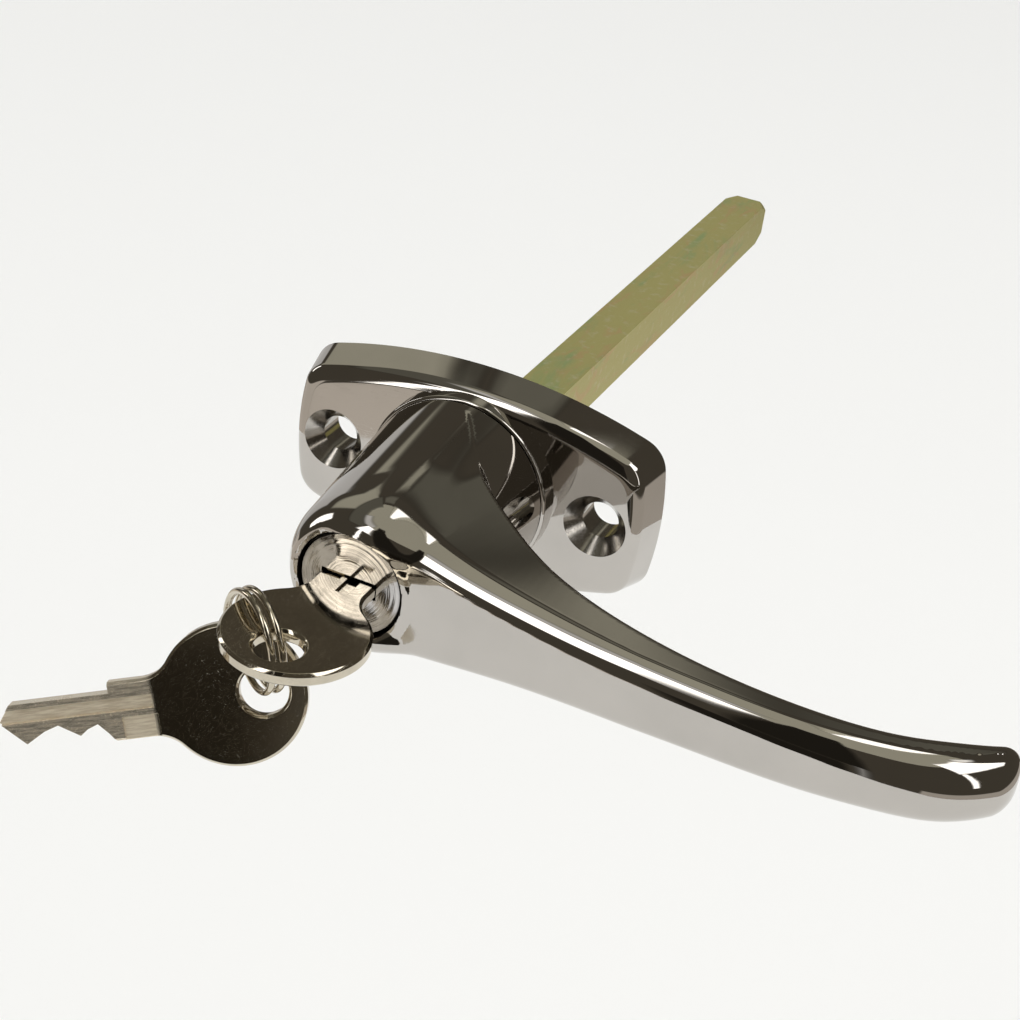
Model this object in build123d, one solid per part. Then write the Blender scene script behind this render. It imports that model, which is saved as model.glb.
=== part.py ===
from build123d import *
import math
import os

# Locking L-handle for a cabinet or garage door, with its key lock, square shaft, keys and split ring.
# The origin is the centre of the plate's back face, where the shaft leaves it.  The door lies in the
# XZ plane.  +Y runs through the door along the shaft, -Y comes out towards the user, and the lever
# points along +X.  All sizes are in millimetres.
os.makedirs("parts", exist_ok=True)

# Fits and gaps
running_fit = 0.08
sliding_gap = 0.10
seat_gap = 0.05
stack_gap = 0.10
free_gap = 0.30

# Escutcheon plate
plate_length = 60.6
plate_height = 33.4
plate_corner_length = 58.0
plate_corner_height = 23.8
plate_thickness = 7.0
plate_corner_radius = 5.0
plate_draft = 1.5
plate_edge_round = 2.2
collar_diameter = 29.6
collar_height = 2.0
collar_edge_round = 0.5
fixing_centres = 44.5
fixing_hole_diameter = 5.8
countersink_diameter = 10.0
countersink_depth = 2.5

# Lever handle: hub, rear journal and arm
hub_base_diameter = 28.6
hub_shoulder_diameter = 23.6
hub_shoulder_from_base = 25.1
hub_front_diameter = 18.6
hub_height = 32.6
journal_diameter = 21.0
journal_flat_depth = 1.3

# Arm from the hub out to the tip, at matching stations: distance from the shaft's axis and distance
# out from the plate's front, along its front edge and its back edge, and half its height at each edge
arm_front_edge = (
    (0.0, 34.2), (4.5, 34.55), (9.0, 34.95), (13.5, 35.4), (26.0, 36.55), (39.0, 37.65),
    (52.0, 38.3), (65.0, 38.6), (76.0, 37.7), (84.5, 35.4), (89.9, 31.0),
)
arm_back_edge = (
    (0.8, 3.2), (5.0, 8.5), (9.2, 12.9), (14.2, 16.8), (26.0, 24.3), (39.0, 28.7),
    (52.0, 30.95), (65.0, 31.5), (75.5, 30.3), (82.5, 27.7), (88.0, 24.3),
)
arm_front_half_heights = (8.6, 8.55, 8.35, 8.05, 6.75, 5.75, 5.25, 5.05, 5.05, 5.1, 4.6)
arm_back_half_heights = (13.9, 12.75, 10.4, 8.6, 6.75, 5.75, 5.25, 5.05, 5.05, 5.1, 4.6)
arm_front_round = 3.0
arm_back_round_at_hub = 0.9
arm_back_round_at_tip = 3.0
arm_tip_round = 2.3
arm_sections = 21

# Square shaft and its cross pin
shaft_side = 8.0
shaft_reach = 130.0
shaft_end_diameter = 9.4
shaft_end_taper = 3.4
shaft_pin_diameter = 3.0
shaft_pin_from_front = 0.4

# Parts that hold the handle in the plate, in the recess in the plate's back
recess_margin = 2.5
recess_depth = 4.2
disc_spring_thickness = 0.35
disc_spring_rise = 0.4
disc_spring_width = 1.8
stop_plate_thickness = 1.2
stop_plate_margin = 2.1
stop_tab_length = 1.2
stop_tab_width = 5.0
stop_turn = 90.0
stop_slack = 1.0
retaining_ring_thickness = 1.0
retaining_ring_margin = 1.8
retaining_ring_groove_depth = 0.9
retaining_ring_opening = 50.0

# Lock: housing, plug, wafers and the parts that drive the bolt
lock_bore_diameter = 16.5
housing_length = 16.5
housing_groove_diameter = 14.4
plug_head_diameter = 15.9
plug_head_thickness = 1.3
plug_head_sink = 0.3
plug_diameter = 12.8
plug_tail_side = 5.0
clip_thickness = 0.8
clip_diameter = 13.4
clip_groove_diameter = 11.0
clip_opening = 60.0
cam_diameter = 12.0
cam_thickness = 1.5
cam_web = 0.5
bolt_travel = 1.9
cam_peg_diameter = 2.2
housing_pin_diameter = 2.0
housing_pin_from_rear = 1.4
wafer_count = 5
wafer_pitch = 2.4
wafer_thickness = 0.9
wafer_width = 6.0
wafer_drop = 0.6
wafer_ear_height = 1.9
wafer_ear_width = 0.8
wafer_ear_place = 0.7
wafer_first_from_face = 3.9
spring_wire = 0.22
spring_diameter = 1.2
spring_turns = 5

# Locking bolt
bolt_head_thickness = 2.3
bolt_head_width = 7.0
bolt_head_reach = 3.2
bolt_leg_width = 5.0
bolt_leg_thickness = 2.4
bolt_leg_face = 9.7
bolt_engagement = 3.1
cam_rise = 45.0

# Key: the flat blank and its cuts, measured from the bow's centre towards the tip
key_thickness = 2.0
keyway_mouth_gap = 0.3
bow_diameter = 20.4
bow_hole_diameter = 6.8
bow_hole_offset = 4.25
bow_edge_chamfer = 0.4
bow_from_face = 14.9
key_neck_top = 3.9
key_neck_bottom = 4.5
key_neck_root = 5.0
key_shoulder_end = 16.9
key_blade_top = 2.4
key_tip = 32.7
key_cuts = ((17.8, 3.2), (19.1, 1.75), (20.6, 2.3), (21.7, 3.1), (24.6, 1.26), (26.6, 1.9), (29.3, 3.4))
key_tip_top = 30.9
key_groove_low = -1.6
key_groove_high = 0.3
key_groove_depth = 0.45
key_groove_start = 11.0
shoulder_relief_start = 10.6
shoulder_relief_end = 15.6
shoulder_relief_low = 1.2
shoulder_relief_depth = 0.25

# Split ring: two turns of wire, whose ends lie at this angle from the ring's level side
ring_wire = 1.0
ring_mean_diameter = 14.0
ring_turn_pitch = 1.5
ring_turns = 2
ring_centre = (-6.15, -55.69, -3.61)
ring_axis = (0.581, 0.814, 0.025)
ring_start = 150.0

# Spare key hanging in the ring: bow's centre, direction of its blade and of its flat side
spare_bow_centre = (-8.3, -57.1, -12.4)
spare_blade_direction = (-0.878, -0.400, -0.263)
spare_flat_direction = (0.32, -0.90, 0.30)

# Diameters round the journal that follow from the sizes above
recess_diameter = journal_diameter + 2 * recess_margin
stop_plate_diameter = journal_diameter + 2 * stop_plate_margin
stop_tab_reach = recess_diameter / 2 + stop_tab_length
retaining_ring_diameter = journal_diameter + 2 * retaining_ring_margin
retaining_ring_groove = journal_diameter - 2 * retaining_ring_groove_depth
journal_flats = journal_diameter - 2 * journal_flat_depth

# Planes that follow from the sizes above
plate_front = -plate_thickness
collar_front = plate_front - collar_height
hub_base = collar_front - 2 * stack_gap
hub_front = hub_base - hub_height
recess_floor = -recess_depth
lock_face = hub_front + plug_head_sink
housing_front = lock_face + plug_head_thickness + stack_gap
housing_rear = housing_front + housing_length
clip_front = housing_rear + stack_gap
clip_rear = clip_front + clip_thickness
plug_rear = clip_rear + seat_gap + clip_thickness / 2
cam_front = plug_rear + seat_gap
cam_rear = cam_front + cam_thickness
bolt_head_front = cam_rear + stack_gap
bolt_head_rear = bolt_head_front + bolt_head_thickness
shaft_seat = bolt_head_rear + stack_gap
bolt_leg_end = collar_front + bolt_engagement
disc_spring_front = recess_floor + seat_gap
stop_plate_front = disc_spring_front + disc_spring_thickness + disc_spring_rise + seat_gap
stop_plate_rear = stop_plate_front + stop_plate_thickness
ring_front = stop_plate_rear + stack_gap
ring_rear = ring_front + retaining_ring_thickness
journal_rear = ring_rear + 2 * stack_gap


def facing(y):
    """Sketch plane at this depth, seen from the user's side: X to the right, Z up."""
    return Plane(origin=(0, y, 0), x_dir=(1, 0, 0), z_dir=(0, -1, 0))


def prism(outline, back, front):
    """Solid with this outline from the plane y = back out to the plane y = front."""
    return extrude(facing(back) * outline, amount=back - front)


def disc(diameter, back, front):
    return prism(Circle(diameter / 2), back, front)


def block(x_low, x_high, z_low, z_high, back, front):
    middle = Pos((x_low + x_high) / 2, (z_low + z_high) / 2)
    return prism(middle * Rectangle(x_high - x_low, z_high - z_low), back, front)


def sector(radius, middle, half_angle):
    """Pie slice on the axis, about the middle direction."""
    ends = []
    for angle in (middle - half_angle, middle, middle + half_angle):
        turn = math.radians(angle)
        ends.append((radius * math.cos(turn), radius * math.sin(turn)))
    rim = ThreePointArc(*ends)
    return make_face([Line((0, 0), ends[0]), rim, Line(ends[2], (0, 0))])


def open_ring(outer, inner, opening, direction):
    """Flat C-shaped ring; its opening is an angle about the given direction."""
    return Circle(outer / 2) - Circle(inner / 2) - sector(outer, direction, opening / 2)


def double_flat(diameter, flats):
    """Round with two flats, above and below."""
    return Circle(diameter / 2) & Rectangle(2 * diameter, flats)


def save(solid, name):
    solid.label = name
    export_step(solid, f"parts/{name}.step")


# Escutcheon
def plate_outline(inset):
    """Barrel-shaped outline of four shallow arcs, drawn in on all sides by the inset."""
    reach = plate_length / 2 - inset
    rise = plate_height / 2 - inset
    corner_x = plate_corner_length / 2 - inset
    corner_z = plate_corner_height / 2 - inset
    top = ThreePointArc((-corner_x, corner_z), (0, rise), (corner_x, corner_z))
    right = ThreePointArc((corner_x, corner_z), (reach, 0), (corner_x, -corner_z))
    bottom = ThreePointArc((corner_x, -corner_z), (0, -rise), (-corner_x, -corner_z))
    left = ThreePointArc((-corner_x, -corner_z), (-reach, 0), (-corner_x, corner_z))
    outline = make_face([top, right, bottom, left])
    return fillet(outline.vertices(), plate_corner_radius - inset / 2)


def fixing_hole():
    """Countersunk through hole on the Y axis, ready to be moved to its place."""
    hole = fixing_hole_diameter / 2
    mouth = countersink_diameter / 2
    profile = make_face(Polyline(
        (0, plate_thickness), (hole, plate_thickness), (hole, plate_front + countersink_depth),
        (mouth, plate_front), (mouth, collar_front), (0, collar_front), close=True))
    return revolve(profile, Axis.Y)


def stop_pocket():
    """Arc-shaped pocket in which the stop plate's tab swings, open to the back."""
    tab_half_angle = math.degrees(math.asin(stop_tab_width / recess_diameter))
    closed_half_angle = 180 - stop_turn - tab_half_angle - stop_slack
    outer = stop_tab_reach + free_gap
    outline = Circle(outer) - sector(2 * outer, 180, closed_half_angle)
    return prism(outline, plate_thickness, stop_plate_front - stack_gap)


def escutcheon():
    body = loft([facing(0) * plate_outline(0), facing(plate_front) * plate_outline(plate_draft)])
    front_rim = body.edges().filter_by_position(Axis.Y, plate_front - 0.01, plate_front + 0.01)
    body = fillet(front_rim, plate_edge_round)
    collar = disc(collar_diameter, recess_floor, collar_front)
    collar_rim = collar.edges().filter_by_position(Axis.Y, collar_front - 0.01, collar_front + 0.01)
    body += fillet(collar_rim, collar_edge_round)
    body -= disc(journal_diameter + 2 * running_fit, plate_thickness, collar_front - 1)
    body -= disc(recess_diameter, plate_thickness, recess_floor)
    body -= stop_pocket()
    for side in (-1, 1):
        body -= Pos(side * fixing_centres / 2, 0, 0) * fixing_hole()
    notch_reach = bolt_leg_face + bolt_travel + free_gap
    notch = block(0, notch_reach, -bolt_leg_width / 2 - free_gap, bolt_leg_width / 2 + free_gap,
                  bolt_leg_end + free_gap, collar_front - 1)
    for angle in (90, 180, 270):
        body -= Rot(0, angle, 0) * notch
    return body


# Lever handle
def hub():
    """Round hub with a slight taper, rounded over towards the lock's face."""
    base = hub_base_diameter / 2
    shoulder = hub_shoulder_diameter / 2
    front = hub_front_diameter / 2
    shoulder_y = hub_base - hub_shoulder_from_base
    bulge = (front + 0.72 * (shoulder - front), shoulder_y + 0.62 * (hub_front - shoulder_y))
    profile = make_face([
        Line((0, hub_base), (base, hub_base)),
        Line((base, hub_base), (shoulder, shoulder_y)),
        ThreePointArc((shoulder, shoulder_y), bulge, (front, hub_front)),
        Line((front, hub_front), (0, hub_front)),
        Line((0, hub_front), (0, hub_base))])
    return revolve(profile, Axis.Y)


def arm_guide(points):
    """Smooth curve through the stations; the three guides share their spacing."""
    steps = [math.dist(near, far) for near, far in zip(arm_front_edge, arm_front_edge[1:])]
    shares = [sum(steps[:number]) / sum(steps) for number in range(len(arm_front_edge))]
    return Edge.make_spline([Vector(*point) for point in points], parameters=shares)


def arm_section(depth, front_half, back_half, front_round, back_round):
    """Four-sided outline, as deep as the arm: its front edge is on the right, its back edge on the left."""
    outline = make_face(Polyline(
        (-depth / 2, -back_half), (depth / 2, -front_half), (depth / 2, front_half),
        (-depth / 2, back_half), close=True))
    corners = outline.vertices().sort_by(Axis.X)
    outline = fillet(corners[2:], front_round)
    corners = outline.vertices().filter_by_position(Axis.X, -depth / 2 - 0.001, -depth / 2 + 0.001)
    return fillet(corners, back_round)


def arm():
    """Arm that sweeps out of the hub and ends in a blunt tip turned towards the door."""
    front_guide = arm_guide(arm_front_edge)
    back_guide = arm_guide(arm_back_edge)
    front_sides = arm_guide([(edge[0], half) for edge, half in zip(arm_front_edge, arm_front_half_heights)])
    back_sides = arm_guide([(edge[0], half) for edge, half in zip(arm_back_edge, arm_back_half_heights)])
    sections = []
    for number in range(arm_sections):
        share = number / (arm_sections - 1)
        front = front_guide @ share
        back = back_guide @ share
        front_half = (front_sides @ share).Y
        back_half = (back_sides @ share).Y
        back_round = arm_back_round_at_hub + share * (arm_back_round_at_tip - arm_back_round_at_hub)
        middle = (front + back) * 0.5
        outward = Vector(front.X - back.X, back.Y - front.Y, 0)
        onward = Vector(0, 0, 1).cross(outward)
        plane = Plane(origin=(middle.X, plate_front - middle.Y, 0), x_dir=outward, z_dir=onward)
        sections.append(plane * arm_section(outward.length, front_half, back_half, arm_front_round, back_round))
    cap = []
    for angle in range(0, 91, 15):
        turn = math.radians(angle)
        inset = arm_tip_round * (1 - math.cos(turn))
        end = plane.offset(arm_tip_round * math.sin(turn))
        cap.append(end * arm_section(outward.length - 2 * inset, front_half - inset, back_half - inset,
                                     arm_front_round - inset, back_round - inset))
    return loft(sections) + loft(cap)


def bolt_way():
    """Cavity in which the locking bolt slides: room for its head, and a slot down to the plate."""
    clearance = sliding_gap
    locked_face = bolt_leg_face + bolt_travel + clearance
    room = block(-locked_face, bolt_head_reach + clearance, -bolt_head_width / 2 - clearance,
                 bolt_head_width / 2 + clearance, bolt_head_rear + stack_gap, cam_rear)
    slot = block(-locked_face, clearance - bolt_leg_face + bolt_leg_thickness, -bolt_leg_width / 2 - clearance,
                 bolt_leg_width / 2 + clearance, bolt_leg_end + stack_gap, bolt_head_front)
    return room + slot


def shaft_socket():
    side = shaft_side + 2 * seat_gap
    return prism(Rectangle(side, side), plate_thickness, shaft_seat)


def housing_pin_hole(diameter, inner, outer):
    """Radial pin shape under the hub, between two distances from the axis."""
    y = housing_rear - housing_pin_from_rear
    plane = Plane(origin=(0, y, -inner), x_dir=(1, 0, 0), z_dir=(0, 0, -1))
    return extrude(plane * Circle(diameter / 2), amount=outer - inner)


def shaft_pin_shape(diameter, length):
    y = collar_front + shaft_pin_from_front + shaft_pin_diameter / 2
    plane = Plane(origin=(0, y, -length / 2), x_dir=(1, 0, 0), z_dir=(0, 0, 1))
    return extrude(plane * Circle(diameter / 2), amount=length)


def lever_handle():
    body = hub() + arm()
    journal = disc(journal_diameter, stop_plate_front - seat_gap, hub_base)
    journal += prism(double_flat(journal_diameter, journal_flats), journal_rear, stop_plate_front - seat_gap)
    body += journal
    groove = Circle(journal_diameter) - Circle(retaining_ring_groove / 2)
    body -= prism(groove, ring_rear + stack_gap / 2, ring_front - stack_gap / 2)
    body -= disc(lock_bore_diameter, housing_rear, hub_front - plate_thickness)
    body -= disc(clip_diameter + 2 * free_gap, cam_rear + stack_gap / 2, housing_rear)
    body -= bolt_way()
    body -= shaft_socket()
    body -= shaft_pin_shape(shaft_pin_diameter, hub_base_diameter)
    body -= housing_pin_hole(housing_pin_diameter, 0, hub_base_diameter)
    return body


# Square shaft, its pin and what holds the handle in the plate
def square_shaft():
    """Square bar whose far end is turned to a taper, so that only its corners are cut back."""
    body = prism(Rectangle(shaft_side, shaft_side), shaft_reach, shaft_seat)
    corner = shaft_side / math.sqrt(2)
    taper_start = shaft_reach - shaft_end_taper
    turned = make_face(Polyline(
        (0, shaft_seat), (corner, shaft_seat), (corner, taper_start),
        (shaft_end_diameter / 2, shaft_reach), (0, shaft_reach), close=True))
    body &= revolve(turned, Axis.Y)
    return body - shaft_pin_shape(shaft_pin_diameter, hub_base_diameter)


def disc_spring():
    """Shallow dished washer that takes up the play behind the plate."""
    inner = journal_diameter / 2 + free_gap
    outer = inner + disc_spring_width
    profile = make_face(Polyline(
        (inner, disc_spring_front + disc_spring_rise), (outer, disc_spring_front),
        (outer, disc_spring_front + disc_spring_thickness),
        (inner, disc_spring_front + disc_spring_rise + disc_spring_thickness), close=True))
    return revolve(profile, Axis.Y)


def stop_plate():
    """Washer driven by the journal's flats, with the tab that ends the handle's turn."""
    outline = Circle(stop_plate_diameter / 2)
    tab = Rectangle(stop_tab_reach, stop_tab_width, align=(Align.MIN, Align.CENTER))
    outline += tab & Circle(stop_tab_reach)
    outline -= double_flat(journal_diameter + 2 * seat_gap, journal_flats + 2 * seat_gap)
    return prism(outline, stop_plate_rear, stop_plate_front)


def retaining_ring():
    inner = retaining_ring_groove + 2 * seat_gap
    outline = open_ring(retaining_ring_diameter, inner, retaining_ring_opening, 180)
    return prism(outline, ring_rear, ring_front)


# Lock cylinder
def wafer_places():
    """Depth of each wafer's middle, from the lock's face inwards."""
    return [lock_face + wafer_first_from_face + number * wafer_pitch for number in range(wafer_count)]


def lock_housing():
    """Sleeve round the plug, with the two grooves that the wafers spring out into."""
    body = disc(lock_bore_diameter - 2 * seat_gap, housing_rear - seat_gap, housing_front)
    body -= disc(plug_diameter + 2 * running_fit, plate_thickness, hub_front)
    places = wafer_places()
    front = places[0] - wafer_pitch / 2
    back = places[-1] + wafer_pitch / 2
    half = wafer_width / 2 + free_gap
    groove = block(0, housing_groove_diameter / 2, -half, half, back, front)
    for angle in (0, 90):
        body -= Rot(0, angle, 0) * groove
    body -= housing_pin_hole(housing_pin_diameter, plug_diameter / 2 + 2 * free_gap, hub_base_diameter)
    return body


def housing_pin():
    y = housing_rear - housing_pin_from_rear
    taper = (hub_base_diameter - hub_shoulder_diameter) / 2 / hub_shoulder_from_base
    surface = hub_base_diameter / 2 - (hub_base - y) * taper
    return housing_pin_hole(housing_pin_diameter, plug_diameter / 2 + 2 * free_gap + seat_gap, surface - free_gap)


def keyway():
    """Slot for the key: wide at the mouth for its shoulder, narrow behind, with a ward on each side."""
    half = key_thickness / 2 + seat_gap
    mouth_end = key_face_y(key_cuts[0][0]) + stack_gap
    blade_end = key_face_y(key_tip) + stack_gap
    neck_low = -key_neck_bottom - sliding_gap
    neck_high = key_neck_top + sliding_gap
    highest_cut = max(height for _, height in key_cuts)
    mouth_half = key_thickness / 2 + keyway_mouth_gap
    mouth = block(neck_low, neck_high, -mouth_half, mouth_half, mouth_end, hub_front - plate_thickness)
    slot = block(-highest_cut - sliding_gap, key_blade_top + sliding_gap, -half, half, blade_end, lock_face)
    ward = key_groove_depth - sliding_gap
    ward_low = -key_groove_high + sliding_gap
    ward_high = -key_groove_low - sliding_gap
    for side in (-1, 1):
        edge = sorted((side * half, side * (half - ward)))
        slot -= block(ward_low, ward_high, edge[0], edge[1], blade_end, mouth_end)
    return mouth + slot


def key_face_y(along):
    """Depth of a point of the seated key that lies this far from its bow's centre."""
    return lock_face - bow_from_face + along


def wafer_slot(y):
    """Slot through the plug for one wafer, with room for its ear and its spring."""
    thickness = wafer_thickness / 2 + seat_gap
    half = wafer_width / 2 + seat_gap
    slot = block(-plug_diameter, plug_diameter, -half, half, y + thickness, y - thickness)
    ear_end = wafer_ear_place + wafer_ear_width + wafer_drop + sliding_gap
    top = wafer_width / 2 + wafer_ear_height + sliding_gap
    slot += block(wafer_ear_place - sliding_gap, ear_end, 0, top, y + thickness, y - thickness)
    return slot + spring_bore(y, spring_diameter / 2 + sliding_gap, sliding_gap)


def spring_bore(y, radius, margin):
    """Round space beside the wafer, from its ear to the plug's blind end."""
    length = spring_length() + 2 * margin
    start = wafer_ear_place + margin
    z = wafer_width / 2 + wafer_ear_height / 2 + seat_gap
    plane = Plane(origin=(start, y, z), x_dir=(0, 1, 0), z_dir=(-1, 0, 0))
    return extrude(plane * Circle(radius), amount=length)


def spring_length():
    """Chord that is free between the ear and the plug's surface, less a wall."""
    height = wafer_width / 2 + wafer_ear_height + sliding_gap
    return math.sqrt((plug_diameter / 2) ** 2 - height ** 2) + wafer_ear_place - 4 * free_gap


def lock_plug():
    body = disc(plug_head_diameter, housing_front - stack_gap, lock_face)
    rim = body.edges().filter_by_position(Axis.Y, lock_face - 0.01, lock_face + 0.01)
    body = chamfer(rim, free_gap)
    body += disc(plug_diameter, plug_rear, lock_face + plug_head_thickness)
    body -= prism(Circle(plug_diameter) - Circle(clip_groove_diameter / 2), clip_rear + seat_gap, clip_front - seat_gap)
    body += prism(Rectangle(plug_tail_side, plug_tail_side), cam_rear - cam_web - stack_gap, plug_rear)
    body -= keyway()
    for y in wafer_places():
        body -= wafer_slot(y)
    return body


def plug_clip():
    inner = clip_groove_diameter + 2 * seat_gap
    return prism(open_ring(clip_diameter, inner, clip_opening, 90), clip_rear, clip_front)


def peg_centre():
    """Centre of the cam's peg with the lock open, seen from the front."""
    throw = bolt_travel / 2 / math.cos(math.radians(cam_rise))
    turn = math.radians(-cam_rise)
    return throw * math.cos(turn), throw * math.sin(turn)


def tail_cam():
    """Disc on the plug's square tail with the off-centre peg that drives the bolt."""
    body = disc(cam_diameter, cam_rear, cam_front)
    side = plug_tail_side + 2 * seat_gap
    body -= prism(Rectangle(side, side), cam_rear - cam_web, plate_front - hub_height)
    x, z = peg_centre()
    body += prism(Pos(x, z) * Circle(cam_peg_diameter / 2), bolt_head_rear - stack_gap, cam_rear)
    return body


def wafer(y):
    """Thin plate that fits across the plug, with a window for the key and an ear for its spring."""
    half = wafer_thickness / 2
    outline = Rectangle(plug_diameter, wafer_width) & Circle(plug_diameter / 2 - sliding_gap)
    ear_x = wafer_ear_place + wafer_ear_width / 2
    ear = Pos(ear_x, (wafer_width + wafer_ear_height) / 2 - seat_gap)
    outline += ear * Rectangle(wafer_ear_width, wafer_ear_height + 2 * seat_gap)
    highest_cut = max(height for _, height in key_cuts)
    low = -highest_cut - wafer_drop - 2 * sliding_gap
    high = key_blade_top + 2 * sliding_gap
    window = Pos((low + high) / 2, 0) * Rectangle(high - low, key_thickness + 4 * sliding_gap)
    return prism(outline - window, y + half, y - half)


def wafer_spring(y):
    """Small compression spring beside the wafer, pressing on its ear."""
    length = spring_length() - 2 * spring_wire
    radius = (spring_diameter - spring_wire) / 2
    start = wafer_ear_place - spring_wire
    z = wafer_width / 2 + wafer_ear_height / 2 + seat_gap
    coil = Helix(pitch=length / spring_turns, height=length, radius=radius,
                 center=(start, y, z), direction=(-1, 0, 0))
    return sweep(Plane(coil @ 0, z_dir=coil % 0) * Circle(spring_wire / 2), path=coil)


def locking_bolt():
    """Head across the back of the lock, and a leg beside the shaft that reaches into the plate."""
    head = block(-bolt_leg_face, bolt_head_reach, -bolt_head_width / 2, bolt_head_width / 2,
                 bolt_head_rear, bolt_head_front)
    leg = block(-bolt_leg_face, bolt_leg_thickness - bolt_leg_face, -bolt_leg_width / 2, bolt_leg_width / 2,
                bolt_leg_end, bolt_head_rear)
    x, z = peg_centre()
    radius = cam_peg_diameter / 2 + sliding_gap
    deepest = -math.hypot(x, z)
    slot = SlotCenterToCenter(abs(deepest - z) + sliding_gap, 2 * radius, rotation=90)
    head -= prism(Pos(x, (z + deepest) / 2) * slot, bolt_head_rear + 1, bolt_head_front - 1)
    return head + leg


# Keys and the split ring
def key_blank():
    """Key in the XY plane: bow's centre at the origin, tip along +X, cuts towards +Y."""
    bow = Circle(bow_diameter / 2)
    shank = [(0, -key_neck_top), (key_shoulder_end, -key_neck_top), (key_shoulder_end, -key_blade_top),
             (key_tip_top, -key_blade_top), (key_tip, 0)]
    shank += reversed(key_cuts)
    shank += [(key_shoulder_end, key_neck_bottom), (0, key_neck_bottom)]
    outline = bow + make_face(Polyline(*shank, close=True))
    roots = outline.vertices().filter_by_position(Axis.X, bow_diameter / 4, 0.98 * bow_diameter / 2)
    outline = fillet(roots, key_neck_root)
    outline -= Pos(-bow_hole_offset, 0) * Circle(bow_hole_diameter / 2)
    body = extrude(Plane.XY.offset(-key_thickness / 2) * outline, amount=key_thickness)
    rim = body.edges().filter_by(GeomType.CIRCLE).filter_by_position(Axis.X, -bow_diameter, 0)
    body = chamfer(rim, bow_edge_chamfer)
    for side in (-1, 1):
        body -= key_relief(side, key_groove_start, key_tip + 1, key_groove_low, key_groove_high, key_groove_depth)
        body -= key_relief(side, shoulder_relief_start, shoulder_relief_end, shoulder_relief_low,
                           key_neck_bottom + 1, shoulder_relief_depth)
    return body


def key_relief(side, start, end, low, high, depth):
    """Shallow milled pocket in one flat side of the key."""
    middle = Pos((start + end) / 2, (low + high) / 2, side * key_thickness / 2)
    return middle * Box(end - start, high - low, 2 * depth)


def seated_key():
    place = Plane(origin=(0, key_face_y(0), 0), x_dir=(0, 1, 0), z_dir=(0, 0, 1))
    return place.location * key_blank()


def spare_key():
    place = Plane(origin=spare_bow_centre, x_dir=spare_blade_direction, z_dir=spare_flat_direction)
    return place.location * key_blank()


def winding_points(centre, axis, radius, pitch, turns, start):
    """Points of a winding every quarter turn, each with its direction there."""
    along = Vector(*axis).normalized()
    level = along.cross(Vector(0, 0, 1)).normalized()
    across = along.cross(level)
    rise = pitch / (2 * math.pi * radius)
    points = []
    for quarter in range(4 * turns + 1):
        turn = math.radians(start + 90 * quarter)
        outward = level * math.cos(turn) + across * math.sin(turn)
        onward = across * math.cos(turn) - level * math.sin(turn) + along * rise
        place = Vector(*centre) + outward * radius + along * (pitch * (quarter / 4 - turns / 2))
        points.append((place, onward.normalized()))
    return points


def winding_path(points):
    """Pairs of tangent arcs that join the points."""
    edges = []
    for (place, onward), (next_place, next_onward) in zip(points, points[1:]):
        step = next_place - place
        bend = 1 - onward.dot(next_onward)
        pull = step.dot(onward + next_onward)
        reach = (math.sqrt(pull ** 2 + 2 * bend * step.dot(step)) - pull) / (2 * bend)
        first = place + onward * reach
        second = next_place - next_onward * reach
        middle = (first + second) * 0.5
        edges.append(TangentArc(place, middle, tangent=onward))
        edges.append(TangentArc(middle, next_place, tangent=second - first))
    return Wire(edges)


def least_gap(path, wire, radius):
    """Least distance of the tube from itself, over points more than half a turn apart."""
    count = 240
    points = [path @ (number / count) for number in range(count + 1)]
    apart = math.ceil(math.pi * radius / path.length * count)
    pairs = ((a, b) for a in range(count + 1) for b in range(a + apart, count + 1))
    return min((points[a] - points[b]).length for a, b in pairs) - wire


def split_ring():
    """Two turns of wire side by side."""
    radius = ring_mean_diameter / 2
    points = winding_points(ring_centre, ring_axis, radius, ring_turn_pitch, ring_turns, ring_start)
    path = winding_path(points)
    print("split ring: least gap between its turns", round(least_gap(path, ring_wire, radius), 2))
    return sweep(Plane(path @ 0, z_dir=path % 0) * Circle(ring_wire / 2), path=path)


save(escutcheon(), "escutcheon")
save(lever_handle(), "lever_handle")
save(square_shaft(), "square_shaft")
save(shaft_pin_shape(shaft_pin_diameter, journal_diameter - 4 * stack_gap), "shaft_pin")
save(disc_spring(), "disc_spring")
save(stop_plate(), "stop_plate")
save(retaining_ring(), "retaining_ring")
save(lock_housing(), "lock_housing")
save(housing_pin(), "housing_pin")
save(lock_plug(), "lock_plug")
save(plug_clip(), "plug_clip")
save(tail_cam(), "tail_cam")
save(locking_bolt(), "locking_bolt")
for number, depth in enumerate(wafer_places(), start=1):
    save(wafer(depth), f"wafer_{number}")
    save(wafer_spring(depth), f"wafer_spring_{number}")
save(seated_key(), "key")
save(spare_key(), "spare_key")
save(split_ring(), "split_ring")
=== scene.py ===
import math

import bmesh
import bpy
import numpy as np
from bpy.props import FloatProperty, FloatVectorProperty, PointerProperty
from mathutils import Matrix, Vector


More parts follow.
